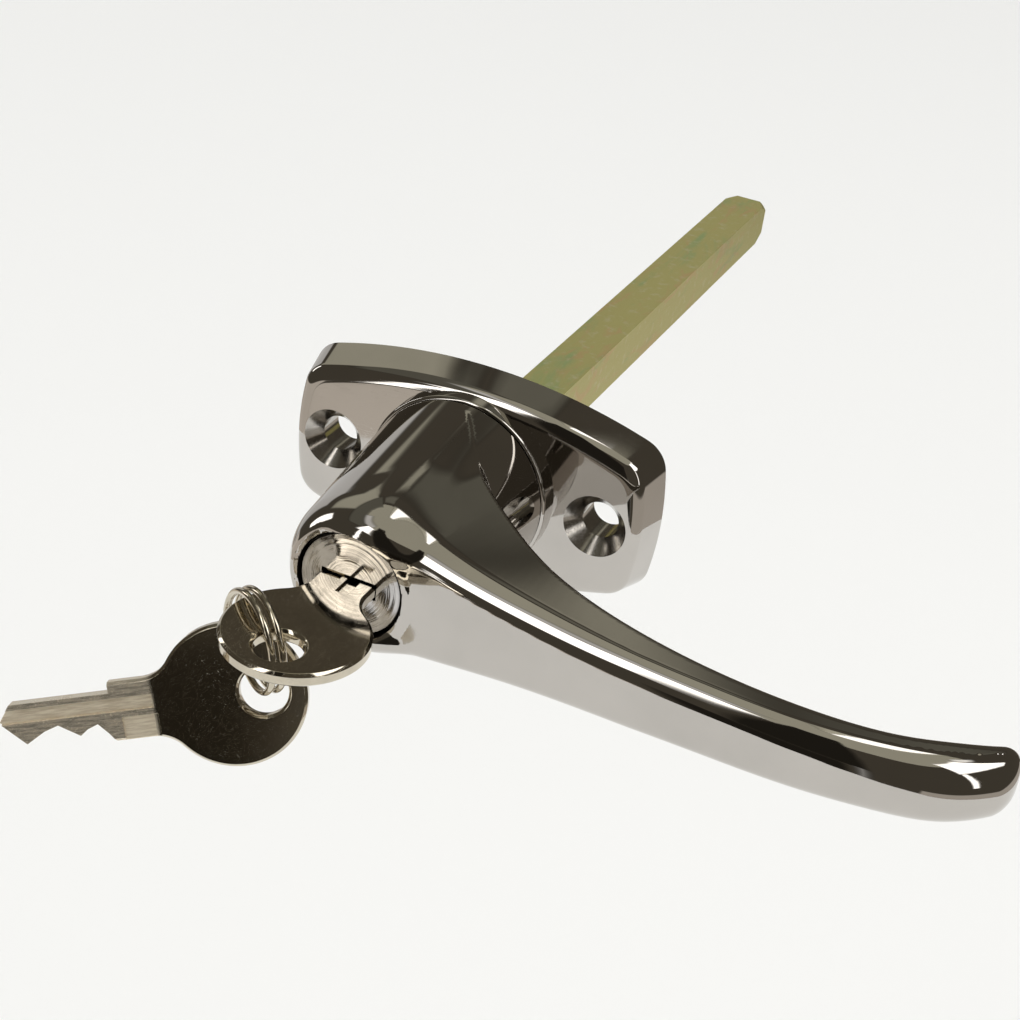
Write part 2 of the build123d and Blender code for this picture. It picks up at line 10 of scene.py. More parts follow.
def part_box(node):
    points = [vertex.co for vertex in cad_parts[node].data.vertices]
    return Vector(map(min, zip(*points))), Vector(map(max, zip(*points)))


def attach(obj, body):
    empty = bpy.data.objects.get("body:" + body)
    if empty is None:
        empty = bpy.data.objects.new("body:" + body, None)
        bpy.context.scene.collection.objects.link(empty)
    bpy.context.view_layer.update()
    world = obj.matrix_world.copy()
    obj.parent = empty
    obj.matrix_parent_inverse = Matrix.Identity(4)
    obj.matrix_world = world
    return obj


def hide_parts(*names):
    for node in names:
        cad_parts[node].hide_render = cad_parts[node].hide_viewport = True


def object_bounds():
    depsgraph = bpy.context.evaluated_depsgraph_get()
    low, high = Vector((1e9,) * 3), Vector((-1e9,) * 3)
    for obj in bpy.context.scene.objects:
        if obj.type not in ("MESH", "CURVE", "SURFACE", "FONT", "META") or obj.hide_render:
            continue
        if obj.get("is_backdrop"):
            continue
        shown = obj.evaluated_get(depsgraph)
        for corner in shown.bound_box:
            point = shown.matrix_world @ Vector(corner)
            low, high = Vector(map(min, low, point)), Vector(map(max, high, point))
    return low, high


bl_info = {
    "name": "Locking L-handle finish",
    "version": (1, 0, 0),
    "blender": (4, 5, 0),
    "location": "View3D > Sidebar > L-handle",
    "description": "Finishes the chromed locking handle, its keys and its studio",
    "category": "Object",
}

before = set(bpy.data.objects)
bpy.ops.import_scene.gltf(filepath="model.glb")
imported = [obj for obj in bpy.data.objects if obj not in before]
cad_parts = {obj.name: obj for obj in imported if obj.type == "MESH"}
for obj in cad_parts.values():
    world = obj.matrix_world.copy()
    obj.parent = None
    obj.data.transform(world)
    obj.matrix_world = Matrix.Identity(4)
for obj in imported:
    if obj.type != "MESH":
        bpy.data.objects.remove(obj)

MM = 0.001

# Sizes are in millimetres. y runs along the shaft towards its far end, and is 0 at the door's face.

# The lever's hub, as radius and y from its root to its front, the rounding of its rim, and the y at
# which its smooth skin ends near the door
HUB_ROOT = (14.5, -7.0)
HUB_BASE = (14.3, -9.2)
HUB_SHOULDER = (11.58, -36.5)
HUB_BULGE = (10.85, -39.33)
HUB_FRONT = (9.3, -41.8)
HUB_RIM_ROUND = 0.3
HUB_SKIN_END = -7.5

# The lever's arm, from the hub out to the tip. A station gives x and y of the arm's front edge and of
# its back edge, half the height at each, and how far its front edges are rounded.
ARM_STATIONS = (
    (-9.0, -41.0, -8.5, -10.2, 3.0, 5.0, 2.4),
    (-4.5, -41.4, -4.0, -10.2, 7.0, 10.0, 3.0),
    (0.0, -41.7, 0.8, -10.2, 10.2, 13.9, 3.4),
    (4.5, -41.85, 5.0, -15.5, 10.4, 12.75, 3.4),
    (9.0, -41.95, 9.2, -19.9, 9.7, 10.4, 3.3),
    (13.5, -42.4, 14.2, -23.8, 8.8, 8.9, 3.1),
    (26.0, -43.55, 26.0, -31.3, 6.9, 6.75, 3.0),
    (39.0, -44.65, 39.0, -35.7, 5.75, 5.75, 3.0),
    (52.0, -45.3, 52.0, -37.95, 5.25, 5.25, 3.0),
    (65.0, -45.6, 65.0, -38.5, 5.05, 5.05, 3.2),
    (76.0, -44.7, 75.5, -37.3, 5.05, 5.05, 3.9),
    (84.5, -42.4, 82.5, -34.7, 5.1, 5.1, 4.4),
    (89.2, -38.9, 87.2, -32.0, 4.85, 4.85, 4.3),
    (92.1, -35.6, 90.5, -29.3, 4.5, 4.5, 4.0),
)

# The rounding of the arm's back edges at the hub and at the tip, how much longer its front rounding
# runs at the hub, the share of its length over which that fades, and the rounding of its end
ARM_BACK_ROUNDS = (0.9, 3.0)
ARM_FRONT_STRETCH = 1.1
ARM_STRETCHED_SHARE = 0.5
ARM_TIP_ROUND = 2.8

# How far from the middle plane, and how far in front of the door, the wide fillet of the nose sets in
FLOW_BESIDE = (5.0, 8.5)
FLOW_AHEAD = (24, 36)

# What is joined to the lever's base or cut from the lever. A turned shape is a list of radius and y, a
# block gives its ends along x, y and z, and a pin its radius, its y and its ends along z.
JOURNAL = (
    (10.5, -9.6), (10.5, -3.4), (9.9, -3.4), (9.9, -2.1), (9.6, -2.1), (9.6, -1.0), (9.9, -1.0), (9.9, -0.85)
)
BEHIND_HUB = ((-30, 30), (HUB_BASE[1], 5), (-30, 30))
LOCK_BORE = ((8.25, -44.0), (8.25, -23.6), (7.0, -23.6), (7.0, -20.65))
BOLT_ROOM = ((-11.7, 3.3), (-20.7, -18.2), (-3.6, 3.6))
BOLT_SLOT = ((-11.7, -7.2), (-20.65, 2.0), (-2.6, 2.6))
SHAFT_SOCKET = ((-4.05, 4.05), (-18.2, 2.0), (-4.05, 4.05))
SHAFT_PIN_HOLE = (1.5, -7.1, (-16, 16))
HOUSING_PIN_HOLE = (1.0, -25.0, (-16, 0))

# The lock's bore is bare metal, darkened past its own tone as painted shade, inside this radius and in front
# of this y
BARE_BORE_SHADE_RADIUS = 8.3
BARE_BORE_SHADE_START = -20

# The back plate: its reach along x and its rise along z, its corners, its draft and its front edge
PLATE_REACH = 30.3
PLATE_RISE = 16.7
PLATE_CORNER = (29.0, 11.9)
PLATE_CORNER_ROUND = 5.0
PLATE_FRONT = -7.0
PLATE_DRAFT = 1.5
PLATE_EDGE_ROUND = 2.2
COLLAR_RADIUS = 14.8
COLLAR_ROOT = -4.2
COLLAR_FRONT = -9.0
COLLAR_EDGE_ROUND = 0.5

# What is cut from the plate: the screw holes with their countersinks, the journal's bore, the recess
# behind it, the pocket in which the stop plate's tab swings, and the notches for the locking bolt
FIXING_PLACE = 22.25
FIXING_HOLE = ((2.9, 3.0), (2.9, -4.5), (5.0, PLATE_FRONT), (5.0, -10.0))
PLATE_BORE = ((10.58, 3.0), (10.58, -10.0))
RECESS = ((13.0, 4.0), (13.0, -4.2))
POCKET_RADII = (14.5, 11.5)
POCKET_ENDS = (3.0, -3.45)
POCKET_SWING = 102.1
NOTCH_ENDS = (-11.0, -5.6)
NOTCH_ACROSS = (-2.8, 2.8)
NOTCH_ABOVE = (6.0, 11.9)
NOTCH_BELOW = (-11.9, -6.0)

# The countersinks are satin as far as this from a screw hole's middle, on faces that are less square
# to the shaft than this share
SATIN_RADIUS = 5.1
SATIN_SLANT = 0.95

# How finely round shapes are divided
FINE_TURN = 128
COLLAR_TURN = 160
PIN_TURN = 48
PLATE_SIDE_STEPS = (24, 48)
PLATE_CORNER_STEPS = 14
PLATE_EDGE_STEPS = 12
COLLAR_EDGE_STEPS = 8
POCKET_STEPS = 48

# The spare key: the centre of its bow, the directions of its blade and of its flat side, and how far
# from the centre its blade begins
SPARE_BOW = (-8.3, -57.1, -12.4)
SPARE_BLADE = Vector((-0.878, -0.400, -0.263)).normalized()
SPARE_FLAT = Vector((0.32, -0.90, 0.30)).normalized()
KEY_SHANK = 11.0

# Where the blade is milled: the groove lies between two heights across it and is also painted brighter, as a
# highlight of its bevel, and the shoulder ends this far along it and begins at this height. Then how softly
# the blade and the cuts begin.
KEY_GROOVE = (-1.6, 0.3)
KEY_RELIEF = (15.6, 1.2)
SHANK_FADE = 0.4
CUTTER_FADE = 0.1

# The lock's face: its tint beside the castings' tint, and the radii between which it darkens with painted
# shade of the gap round the plug
LOCK_WARMTH = (1.14, 1.16, 1.22)
LOCK_FACE_SHADED_RIM = (7.2, 7.9)

# Depths of the finest relief, in metres: the castings' pores, the lock face's lathe rings, the bar's
# drawing lines, the keys' tumbling marks and the grain of the other metals
PORE_DEPTH = 0.0000004
LATHE_DEPTH = 0.00003
DRAWN_DEPTH = 0.000006
TUMBLE_DEPTH = 0.0000018
GRAIN_DEPTH = 0.000003

# The numbers of the lock's wafers and of their springs
WAFERS = range(1, 6)

# Cards that only the metal mirrors: name, bearings and heights in degrees, the studio's colour, the
# strength, and the degrees over which the card fades at its edges. Each stands nearer than the one
# before by about the gap's ratio, so that no two meet.
WALL_CARDS = (
    ("room", (-180, 180), (-8, 62), "room", 1.0, 0.0),
    ("ceiling", (-180, 180), (62, 90), "ceiling", 1.0, 0.0),
    ("high_shade", (-145, -30), (44, 68), "ceiling", 0.28, 3.0),
    ("left_back_wall", (-76, -34), (22, 49), "ceiling", 0.95, 5.0),
    ("front_shade", (168, 192), (-8, 76), "room", 0.25, 1.5),
    ("back_wall", (-23, -5), (13, 47), "ceiling", 0.85, 7.0),
    ("back_wall_high", (-30, -9), (46, 60), "ceiling", 0.38, 3.0),
    ("back_wall_right", (-12, 20), (26, 50), "ceiling", 0.3, 9.0),
    ("front_left_strip", (-156.5, -151), (-8, 38), "lamp", 4.0, 1.5),
    ("top_arc", (-160, -85), (62, 78), "lamp", 0.7, 6.0),
    ("top_glow", (-9, 22), (59, 82), "ceiling", 1.3, 3.0),
    ("right_back_box", (42, 62), (58, 70), "lamp", 1.4, 3.0),
    ("right_strip", (109, 116), (-8, 42), "lamp", 2.5, 2.0),
    ("left_window", (-90, -80), (2, 30), "lamp", 3.0, 2.0),
)
WALL_GAP = 1.005

# Soft lamps, which light the handle and stand in front of the walls
LAMP_CARDS = (
    ("front_left_box", (-168, -144), (28, 68), "lamp", 3.5, 6.0),
    ("top_back_box", (-3, 15), (60, 82), "lamp", 2.5, 2.0),
    ("right_box", (64, 118), (40, 71), "lamp", 3.0, 3.0),
)
LAMP_SHARE = 0.9

# More of these cards, nearer than the walls and mostly lower than the handle
TABLE_CARDS = (
    ("skirt", (-180, 180), (-30, 0), "room", 1.0, 0.0),
    ("skirt_front", (168, 192), (-30, 0), "room", 0.25, 1.0),
    ("skirt_front_left", (-168, -60), (-31, -24), "table", 1.5, 1.0),
    ("skirt_far_left", (-150, -60), (-31, -13), "table", 1.4, 1.0),
    ("skirt_back", (-60, 150), (-31, -15), "table", 1.1, 1.0),
    ("skirt_strip", (-156.5, -151), (-21, 2), "lamp", 3.0, 1.5),
    ("skirt_right", (164, 168), (-29, 2), "lamp", 0.35, 1.0),
    ("skirt_left", (-70, -36), (-24, 18), "lamp", 0.6, 5.0),
)
TABLE_GAP = 0.995

# Degrees between the points of a card
CARD_STEP = 2


def colour(name, description, value):
    """A linear colour that a user may change."""
    return FloatVectorProperty(
        name=name, description=description, default=value, size=3, subtype="COLOR", min=0.0, max=1.0
    )


def length(name, description, value):
    """A length in metres that a user may change."""
    return FloatProperty(name=name, description=description, default=value, unit="LENGTH", precision=6)


def amount(name, description, value):
    """A plain number that a user may change."""
    return FloatProperty(name=name, description=description, default=value, precision=4)


def angle(name, description, degrees):
    """An angle that a user may change."""
    return FloatProperty(name=name, description=description, default=math.radians(degrees), subtype="ANGLE")


class ChromeSettings(bpy.types.PropertyGroup):
    """Bright chromium plate over a polished zinc casting."""

    tint: colour("Tint", "What the plate reflects of white light", (0.53, 0.505, 0.475))
    haze: amount("Haze", "Lowest roughness of the polish", 0.03)
    ripple: length("Ripple", "Height of the waves that the polishing wheel left", 0.0000035)
    ripple_width: length("Ripple width", "Distance from one wave to the next", 0.009)


class LeverSettings(bpy.types.PropertyGroup):
    """How finely the lever's outside is meshed, and how softly the arm flows into the hub."""

    grain: length("Mesh size", "Distance between the points of the lever's skin", 0.0004)
    crease: length("Crease", "Width of the fillet along the crease behind the arm", 0.0007)
    flow: length("Flow", "Width of the fillet where the arm leaves the hub's nose", 0.0032)


class PassivatedSettings(bpy.types.PropertyGroup):
    """Yellow passivated zinc on the drawn steel bar."""

    olive: colour("Olive", "Main colour of the passivated film", (0.52, 0.48, 0.19))
    green: colour("Green", "Colour of the greener clouds", (0.37, 0.46, 0.20))
    rose: colour("Rose", "Colour of the warmer clouds", (0.62, 0.38, 0.20))
    pale: colour("Pale", "Colour where the film is thin", (0.66, 0.62, 0.42))
    cloud: length("Cloud", "Size of a colour cloud along the bar", 0.012)
    edge: length("Edge", "Rounding of the bar's drawn edges", 0.0004)


class NickelSettings(bpy.types.PropertyGroup):
    """Nickel plate on the pressed brass keys and their wire."""

    tint: colour("Tint", "What the plate reflects of white light", (0.62, 0.565, 0.46))
    haze: amount("Haze", "Lowest roughness of the plate", 0.07)
    # Milled brass; along the blade's groove it is also a painted highlight
    milled: colour("Milled", "Bright brass where the blade is milled", (0.86, 0.77, 0.60))
    dull: colour("Dull", "Duller brass along the milled blade", (0.62, 0.52, 0.38))
    edge: length("Edge", "Rounding of the keys' pressed edges", 0.00012)


class SteelSettings(bpy.types.PropertyGroup):
    """Plain metals inside the handle, and in the plate's countersinks."""

    bright: colour("Bright", "Zinc plated steel", (0.52, 0.53, 0.54))
    spring: colour("Spring", "Oiled spring steel", (0.24, 0.235, 0.23))
    brass: colour("Brass", "Rolled brass of the wafers", (0.74, 0.56, 0.25))
    # Bare zinc, darkened well past its own tone: painted shade for the deep lock bore and the lock's housing
    bore: colour("Bore", "Bare zinc inside the bores, dark from handling", (0.05, 0.045, 0.04))
    satin: colour("Satin", "Chrome over the drilled countersinks", (0.50, 0.475, 0.44))


class StageSettings(bpy.types.PropertyGroup):
    """The floor, the soft lamps and the camera."""

    floor: colour("Floor", "Colour of the floor", (0.90, 0.90, 0.89))
    floor_drop: length("Floor drop", "How far the floor lies under the lowest piece", 0.30)
    room: colour("Room", "Colour of the dim room that the metal mirrors", (0.078, 0.068, 0.052))
    ceiling: colour("Ceiling", "Colour of the ceiling that the metal mirrors", (0.47, 0.45, 0.36))
    table: colour("Table", "Colour of the table that the metal mirrors", (0.47, 0.43, 0.38))
    lamp: colour("Lamps", "Colour of the soft lamps", (1.0, 0.985, 0.955))
    distance: length("Room distance", "Distance of the walls that the metal mirrors", 2.2)
    skirt: length("Table distance", "Distance of the nearer cards, round the table", 0.70)
    azimuth: angle("Azimuth", "Turn of the camera round the handle", 20.92)
    elevation: angle("Elevation", "Height of the camera over the horizon", 30.37)
    roll: angle("Roll", "Tilt of the picture", 7.7)
    lens: amount("Lens", "Focal length on a 36 mm frame", 66.63)
    place: FloatVectorProperty(
        name="Place", description="Where the camera stands", default=(0.0966, -0.23715, 0.14244),
        size=3, subtype="TRANSLATION", unit="LENGTH",
    )


class Socket:
    """An output socket that takes part in sums: each sign adds its Math node."""

    def __init__(self, finish, socket):
        self.finish = finish
        self.socket = socket

    def maths(self, operation, *values):
        """Adds a Math node over the values."""
        return self.finish.node("ShaderNodeMath", {"operation": operation}, dict(enumerate(values)))

    def __add__(self, other):
        return self.maths("ADD", self, other)

    def __sub__(self, other):
        return self.maths("SUBTRACT", self, other)

    def __rsub__(self, other):
        return self.maths("SUBTRACT", other, self)

    def __mul__(self, other):
        return self.maths("MULTIPLY", self, other)

    def __pow__(self, other):
        return self.maths("POWER", self, other)

    def __abs__(self):
        return self.maths("ABSOLUTE", self)

    __radd__ = __add__
    __rmul__ = __mul__


class Finish:
    """A material whose nodes are added one call at a time."""

    def __init__(self, name):
        self.material = bpy.data.materials.new(name)
        self.material.use_nodes = True
        self.tree = self.material.node_tree
        self.tree.nodes.clear()

    def feed(self, socket, value):
        """Links a value that varies to a socket, or sets a plain value on it."""
        if isinstance(value, Socket):
            self.tree.links.new(value.socket, socket)
        elif socket.type == "RGBA" and len(value) == 3:
            socket.default_value = (*value, 1.0)
        else:
            socket.default_value = value

    def node(self, kind, settings=None, sockets=None, output=0):
        """Adds a node: its settings first, then the values or links of its sockets."""
        made = self.tree.nodes.new(kind)
        for name, value in (settings or {}).items():
            setattr(made, name, value)
        for name, value in (sockets or {}).items():
            self.feed(made.inputs[name], value)
        return Socket(self, made.outputs[output]) if len(made.outputs) else None

    def place(self, stretch=(1.0, 1.0, 1.0)):
        """The point on the piece itself, in millimetres, stretched along its axes."""
        point = self.node("ShaderNodeTexCoord", output="Object")
        scale = tuple(ratio / MM for ratio in stretch)
        return self.node("ShaderNodeVectorMath", {"operation": "MULTIPLY"}, {0: point, 1: scale})

    def noise(self, point, size, detail=3.0, roughness=0.55, distortion=0.0):
        """Soft clouds of the given size in millimetres, from 0 to 1."""
        return self.node(
            "ShaderNodeTexNoise", None,
            {"Vector": point, "Scale": 1.0 / size, "Detail": detail, "Roughness": roughness,
             "Distortion": distortion},
        )

    def step(self, value, low, high, from_value=0.0, to_value=1.0):
        """Rises smoothly from from_value to to_value while value goes from low to high."""
        return self.node(
            "ShaderNodeMapRange", {"interpolation_type": "SMOOTHSTEP"},
            {"Value": value, "From Min": low, "From Max": high, "To Min": from_value, "To Max": to_value},
        )

    def past(self, value, edge, fade):
        """Goes from 0 to 1 as value passes the edge, over the fade on either side."""
        return self.step(value, edge - fade, edge + fade)

    def mix(self, share, first, second):
        """Goes from the first colour to the second."""
        return self.node(
            "ShaderNodeMix", {"data_type": "RGBA"}, {"Factor": share, 6: first, 7: second}, output=2
        )

    def bump(self, height, distance, normal=None):
        """A fine relief, whose height of 1 stands proud by the distance in metres."""
        sockets = {"Height": height, "Distance": distance, "Strength": 1.0}
        if normal is not None:
            sockets["Normal"] = normal
        return self.node("ShaderNodeBump", None, sockets)

    def metal(self, shade, roughness, normal, metallic=1.0):
        """Ends the material in a metal surface."""
        surface = self.node(
            "ShaderNodeBsdfPrincipled", None,
            {"Base Color": shade, "Roughness": roughness, "Metallic": metallic, "Normal": normal},
        )
        self.node("ShaderNodeOutputMaterial", None, {"Surface": surface})
        return self.material


def dimmed(shade, share):
    """A colour brought down to a share of its brightness."""
    return tuple(part * share for part in shade)


def scratches(finish, point, size, curl, width):
    """Hairlines from wiping: thin lines where a stretched cloud passes its middle value."""
    lines = finish.noise(point, size, detail=2.0, roughness=0.5, distortion=curl)
    return 1 - finish.step(abs(lines - 0.5), 0.0, width)


def chrome(settings):
    """Mirror chrome with the faint waves, haze and hairlines of a handled casting."""
    finish = Finish("chrome")
    point = finish.place()
    haze = finish.noise(point, 14.0, detail=4.0)
    pores = finish.noise(point, 0.35, detail=2.0)
    hairs = scratches(finish, finish.place((0.35, 1.0, 1.6)), 2.6, 1.5, 0.006)
    wave = finish.noise(point, settings.ripple_width / MM, detail=1.0, roughness=0.4)
    shade = finish.mix(finish.step(haze, 0.35, 0.75), tuple(settings.tint), dimmed(settings.tint, 0.93))
    roughness = settings.haze + finish.step(haze, 0.45, 0.8) * 0.03 + hairs * 0.02
    ripple = finish.bump(wave, settings.ripple)
    relief = finish.bump(pores * 0.4 - hairs * 0.4, PORE_DEPTH, ripple)
    return finish.metal(shade, roughness, relief)


def lock_chrome(settings):
    """Bright plate on the turned lock face, with faint rings from the lathe and a rim darkened as painted
    shade of the gap round it.
    """
    finish = Finish("lock_face_plate")
    point = finish.place()
    side = finish.node("ShaderNodeSeparateXYZ", None, {"Vector": point}, "X")
    rise = finish.node("ShaderNodeSeparateXYZ", None, {"Vector": point}, "Z")
    radius = (side * side + rise * rise) ** 0.5
    rings = finish.node(
        "ShaderNodeTexNoise", {"noise_dimensions": "1D"}, {"W": radius, "Scale": 2.2, "Detail": 3.0}
    )
    haze = finish.noise(point, 3.0, detail=4.0)
    dents = finish.noise(point, 2.6, detail=1.0)
    warm = tuple(tint * warmth for tint, warmth in zip(settings.tint, LOCK_WARMTH))
    shade = finish.mix(finish.step(haze, 0.35, 0.7), warm, dimmed(warm, 0.78))
    # Painted shade: the face darkens towards its rim, where the gap round the plug falls dark
    shade = finish.mix(finish.step(radius, *LOCK_FACE_SHADED_RIM), shade, dimmed(warm, 0.5))
    roughness = 0.06 + finish.step(rings, 0.4, 0.7) * 0.06
    return finish.metal(shade, roughness, finish.bump(rings * 0.5 + dents * 0.5, LATHE_DEPTH))


def passivated(settings):
    """Yellow passivated zinc: olive film with green and rose clouds on a drawn bar."""
    finish = Finish("passivated_zinc")
    along = finish.place((1.0, 0.28, 1.0))
    cloud = settings.cloud / MM
    olive_green = finish.step(finish.noise(along, cloud * 0.45, 4.0, 0.6, 0.6), 0.52, 0.74)
    bands = finish.place((1.3, 0.4, 1.1))
    rose_mask = finish.step(finish.noise(bands, cloud * 0.33, 4.0, 0.6, 0.8), 0.52, 0.68)
    thin = finish.step(finish.noise(finish.place(), cloud * 0.16, 3.0, 0.6), 0.52, 0.75)
    shade = finish.mix(olive_green, tuple(settings.olive), tuple(settings.green))
    shade = finish.mix(rose_mask * 0.5, shade, tuple(settings.rose))
    shade = finish.mix(thin * 0.45, shade, tuple(settings.pale))
    drawn = finish.noise(finish.place((7.0, 0.12, 7.0)), 1.0, 3.0, 0.6)
    grain = finish.noise(finish.place(), 0.22, 3.0, 0.65)
    roughness = 0.33 + finish.step(grain, 0.3, 0.8) * 0.12 + finish.step(drawn, 0.4, 0.7) * 0.05
    relief = finish.bump(drawn * 0.6 + grain * 0.4, DRAWN_DEPTH)
    return finish.metal(shade, roughness, relief, 0.6)


def blade_marks_and_highlight(finish, point):
    """Where the spare key's blade is milled bright, with its groove painted brighter as a highlight of its
    bevel, and the streaks that the cutter left along it.
    """
    offset = finish.node("ShaderNodeVectorMath", {"operation": "SUBTRACT"}, {0: point, 1: SPARE_BOW})
    axes = (SPARE_BLADE, SPARE_FLAT.cross(SPARE_BLADE).normalized())
    run, rise = (
        finish.node("ShaderNodeVectorMath", {"operation": "DOT_PRODUCT"}, {0: offset, 1: axis}, "Value")
        for axis in axes
    )
    blade = finish.past(run, KEY_SHANK, SHANK_FADE)
    # Painted highlight: the groove's band gets full bright brass, standing in for the light on its bevel
    groove_highlight = finish.past(rise, KEY_GROOVE[0], CUTTER_FADE)
    groove_highlight = groove_highlight * (1 - finish.past(rise, KEY_GROOVE[1], CUTTER_FADE))
    relief = finish.past(rise, KEY_RELIEF[1], CUTTER_FADE)
    relief = relief * (1 - finish.past(run, KEY_RELIEF[0], CUTTER_FADE))
    cut = groove_highlight + relief
    across = finish.node("ShaderNodeCombineXYZ", None, {"X": run * 0.3, "Y": rise * 3.0})
    marks = finish.noise(across, 0.9, detail=3.0, roughness=0.6)
    return blade * (cut + (1 - cut) * finish.step(marks, 0.35, 0.65, 0.35, 0.7)), marks


def nickel(settings, name, milled_blade=False):
    """Warm nickel plate with tumbling marks and scuffs; the spare key shows brass where it is milled, and
    along its groove as a painted highlight.
    """
    finish = Finish(name)
    point = finish.place()
    haze = finish.noise(point, 4.0, detail=4.0)
    tumble = finish.noise(point, 0.28, detail=3.0, roughness=0.6)
    hairs = scratches(finish, finish.place((1.2, 0.5, 0.8)), 1.8, 2.0, 0.008)
    specks = finish.step(finish.noise(point, 0.5, detail=5.0, roughness=0.75), 0.60, 0.68)
    patch = finish.step(finish.noise(point, 6.0, detail=2.0), 0.45, 0.65)
    worn = specks * patch
    shade = finish.mix(finish.step(haze, 0.3, 0.75), tuple(settings.tint), dimmed(settings.tint, 0.86))
    roughness = settings.haze + finish.step(haze, 0.4, 0.8) * 0.05 + hairs * 0.1
    metallic = 1 - worn * 0.35
    if milled_blade:
        milled, marks = blade_marks_and_highlight(finish, point)
        brass = finish.mix(finish.step(marks, 0.3, 0.7), tuple(settings.milled), tuple(settings.dull))
        shade = finish.mix(milled, shade, brass)
        roughness = roughness + milled * 0.24
        metallic = metallic - milled * 0.5
    relief = finish.bump(tumble * 0.5 - hairs, TUMBLE_DEPTH)
    return finish.metal(shade, roughness, relief, metallic)


def plain_metal(tint, name, rough=0.24, grain_size=0.3):
    """A worked metal with fine grain, rolling marks and slightly duller patches."""
    finish = Finish(name)
    point = finish.place()
    patches = finish.noise(point, 2.4, detail=4.0)
    grain = finish.noise(point, grain_size, detail=3.0, roughness=0.62)
    rolled = finish.noise(finish.place((6.0, 0.5, 0.5)), 1.4, detail=2.0)
    shade = finish.mix(finish.step(patches, 0.35, 0.7), tuple(tint), dimmed(tint, 0.85))
    roughness = rough + finish.step(grain, 0.3, 0.8) * 0.1 + finish.step(patches, 0.4, 0.8) * 0.06
    relief = finish.bump(grain * 0.5 + rolled * 0.5, GRAIN_DEPTH)
    return finish.metal(shade, roughness, relief)


def smooth_curve(places, values, at):
    """The values, at other places, of the smooth curve through the values given at some places."""
    gaps = np.diff(places)
    count = len(places)
    matrix = np.zeros((count, count))
    pull = np.zeros((count, values.shape[1]))
    for k in range(1, count - 1):
        matrix[k, k - 1:k + 2] = gaps[k - 1], 2 * (gaps[k - 1] + gaps[k]), gaps[k]
        after = (values[k + 1] - values[k]) / gaps[k]
        before = (values[k] - values[k - 1]) / gaps[k - 1]
        pull[k] = 3 * (after - before)
    matrix[0, :3] = gaps[1], -(gaps[0] + gaps[1]), gaps[0]
    matrix[-1, -3:] = gaps[-1], -(gaps[-2] + gaps[-1]), gaps[-2]
    bend = np.linalg.solve(matrix, pull)
    cell = np.clip(np.searchsorted(places, at, side="right") - 1, 0, count - 2)
    step = (at - places[cell])[:, None]
    gap = gaps[cell][:, None]
    rise = (values[cell + 1] - values[cell]) / gap - gap * (2 * bend[cell] + bend[cell + 1]) / 3
    curl = (bend[cell + 1] - bend[cell]) / (3 * gap)
    return values[cell] + step * (rise + step * (bend[cell] + step * curl))


def rounded_corner(first, second, radius):
    """Distance to the edge that two faces meet in, given the distance to each, rounded off."""
    first = first + radius
    second = second + radius
    outside = np.hypot(np.maximum(first, 0), np.maximum(second, 0))
    return np.minimum(np.maximum(first, second), 0) + outside - radius


def eased(value, low, high):
    """Rises smoothly from 0 at low to 1 at high."""
    share = np.clip((value - low) / (high - low), 0, 1)
    return share * share * (3 - 2 * share)


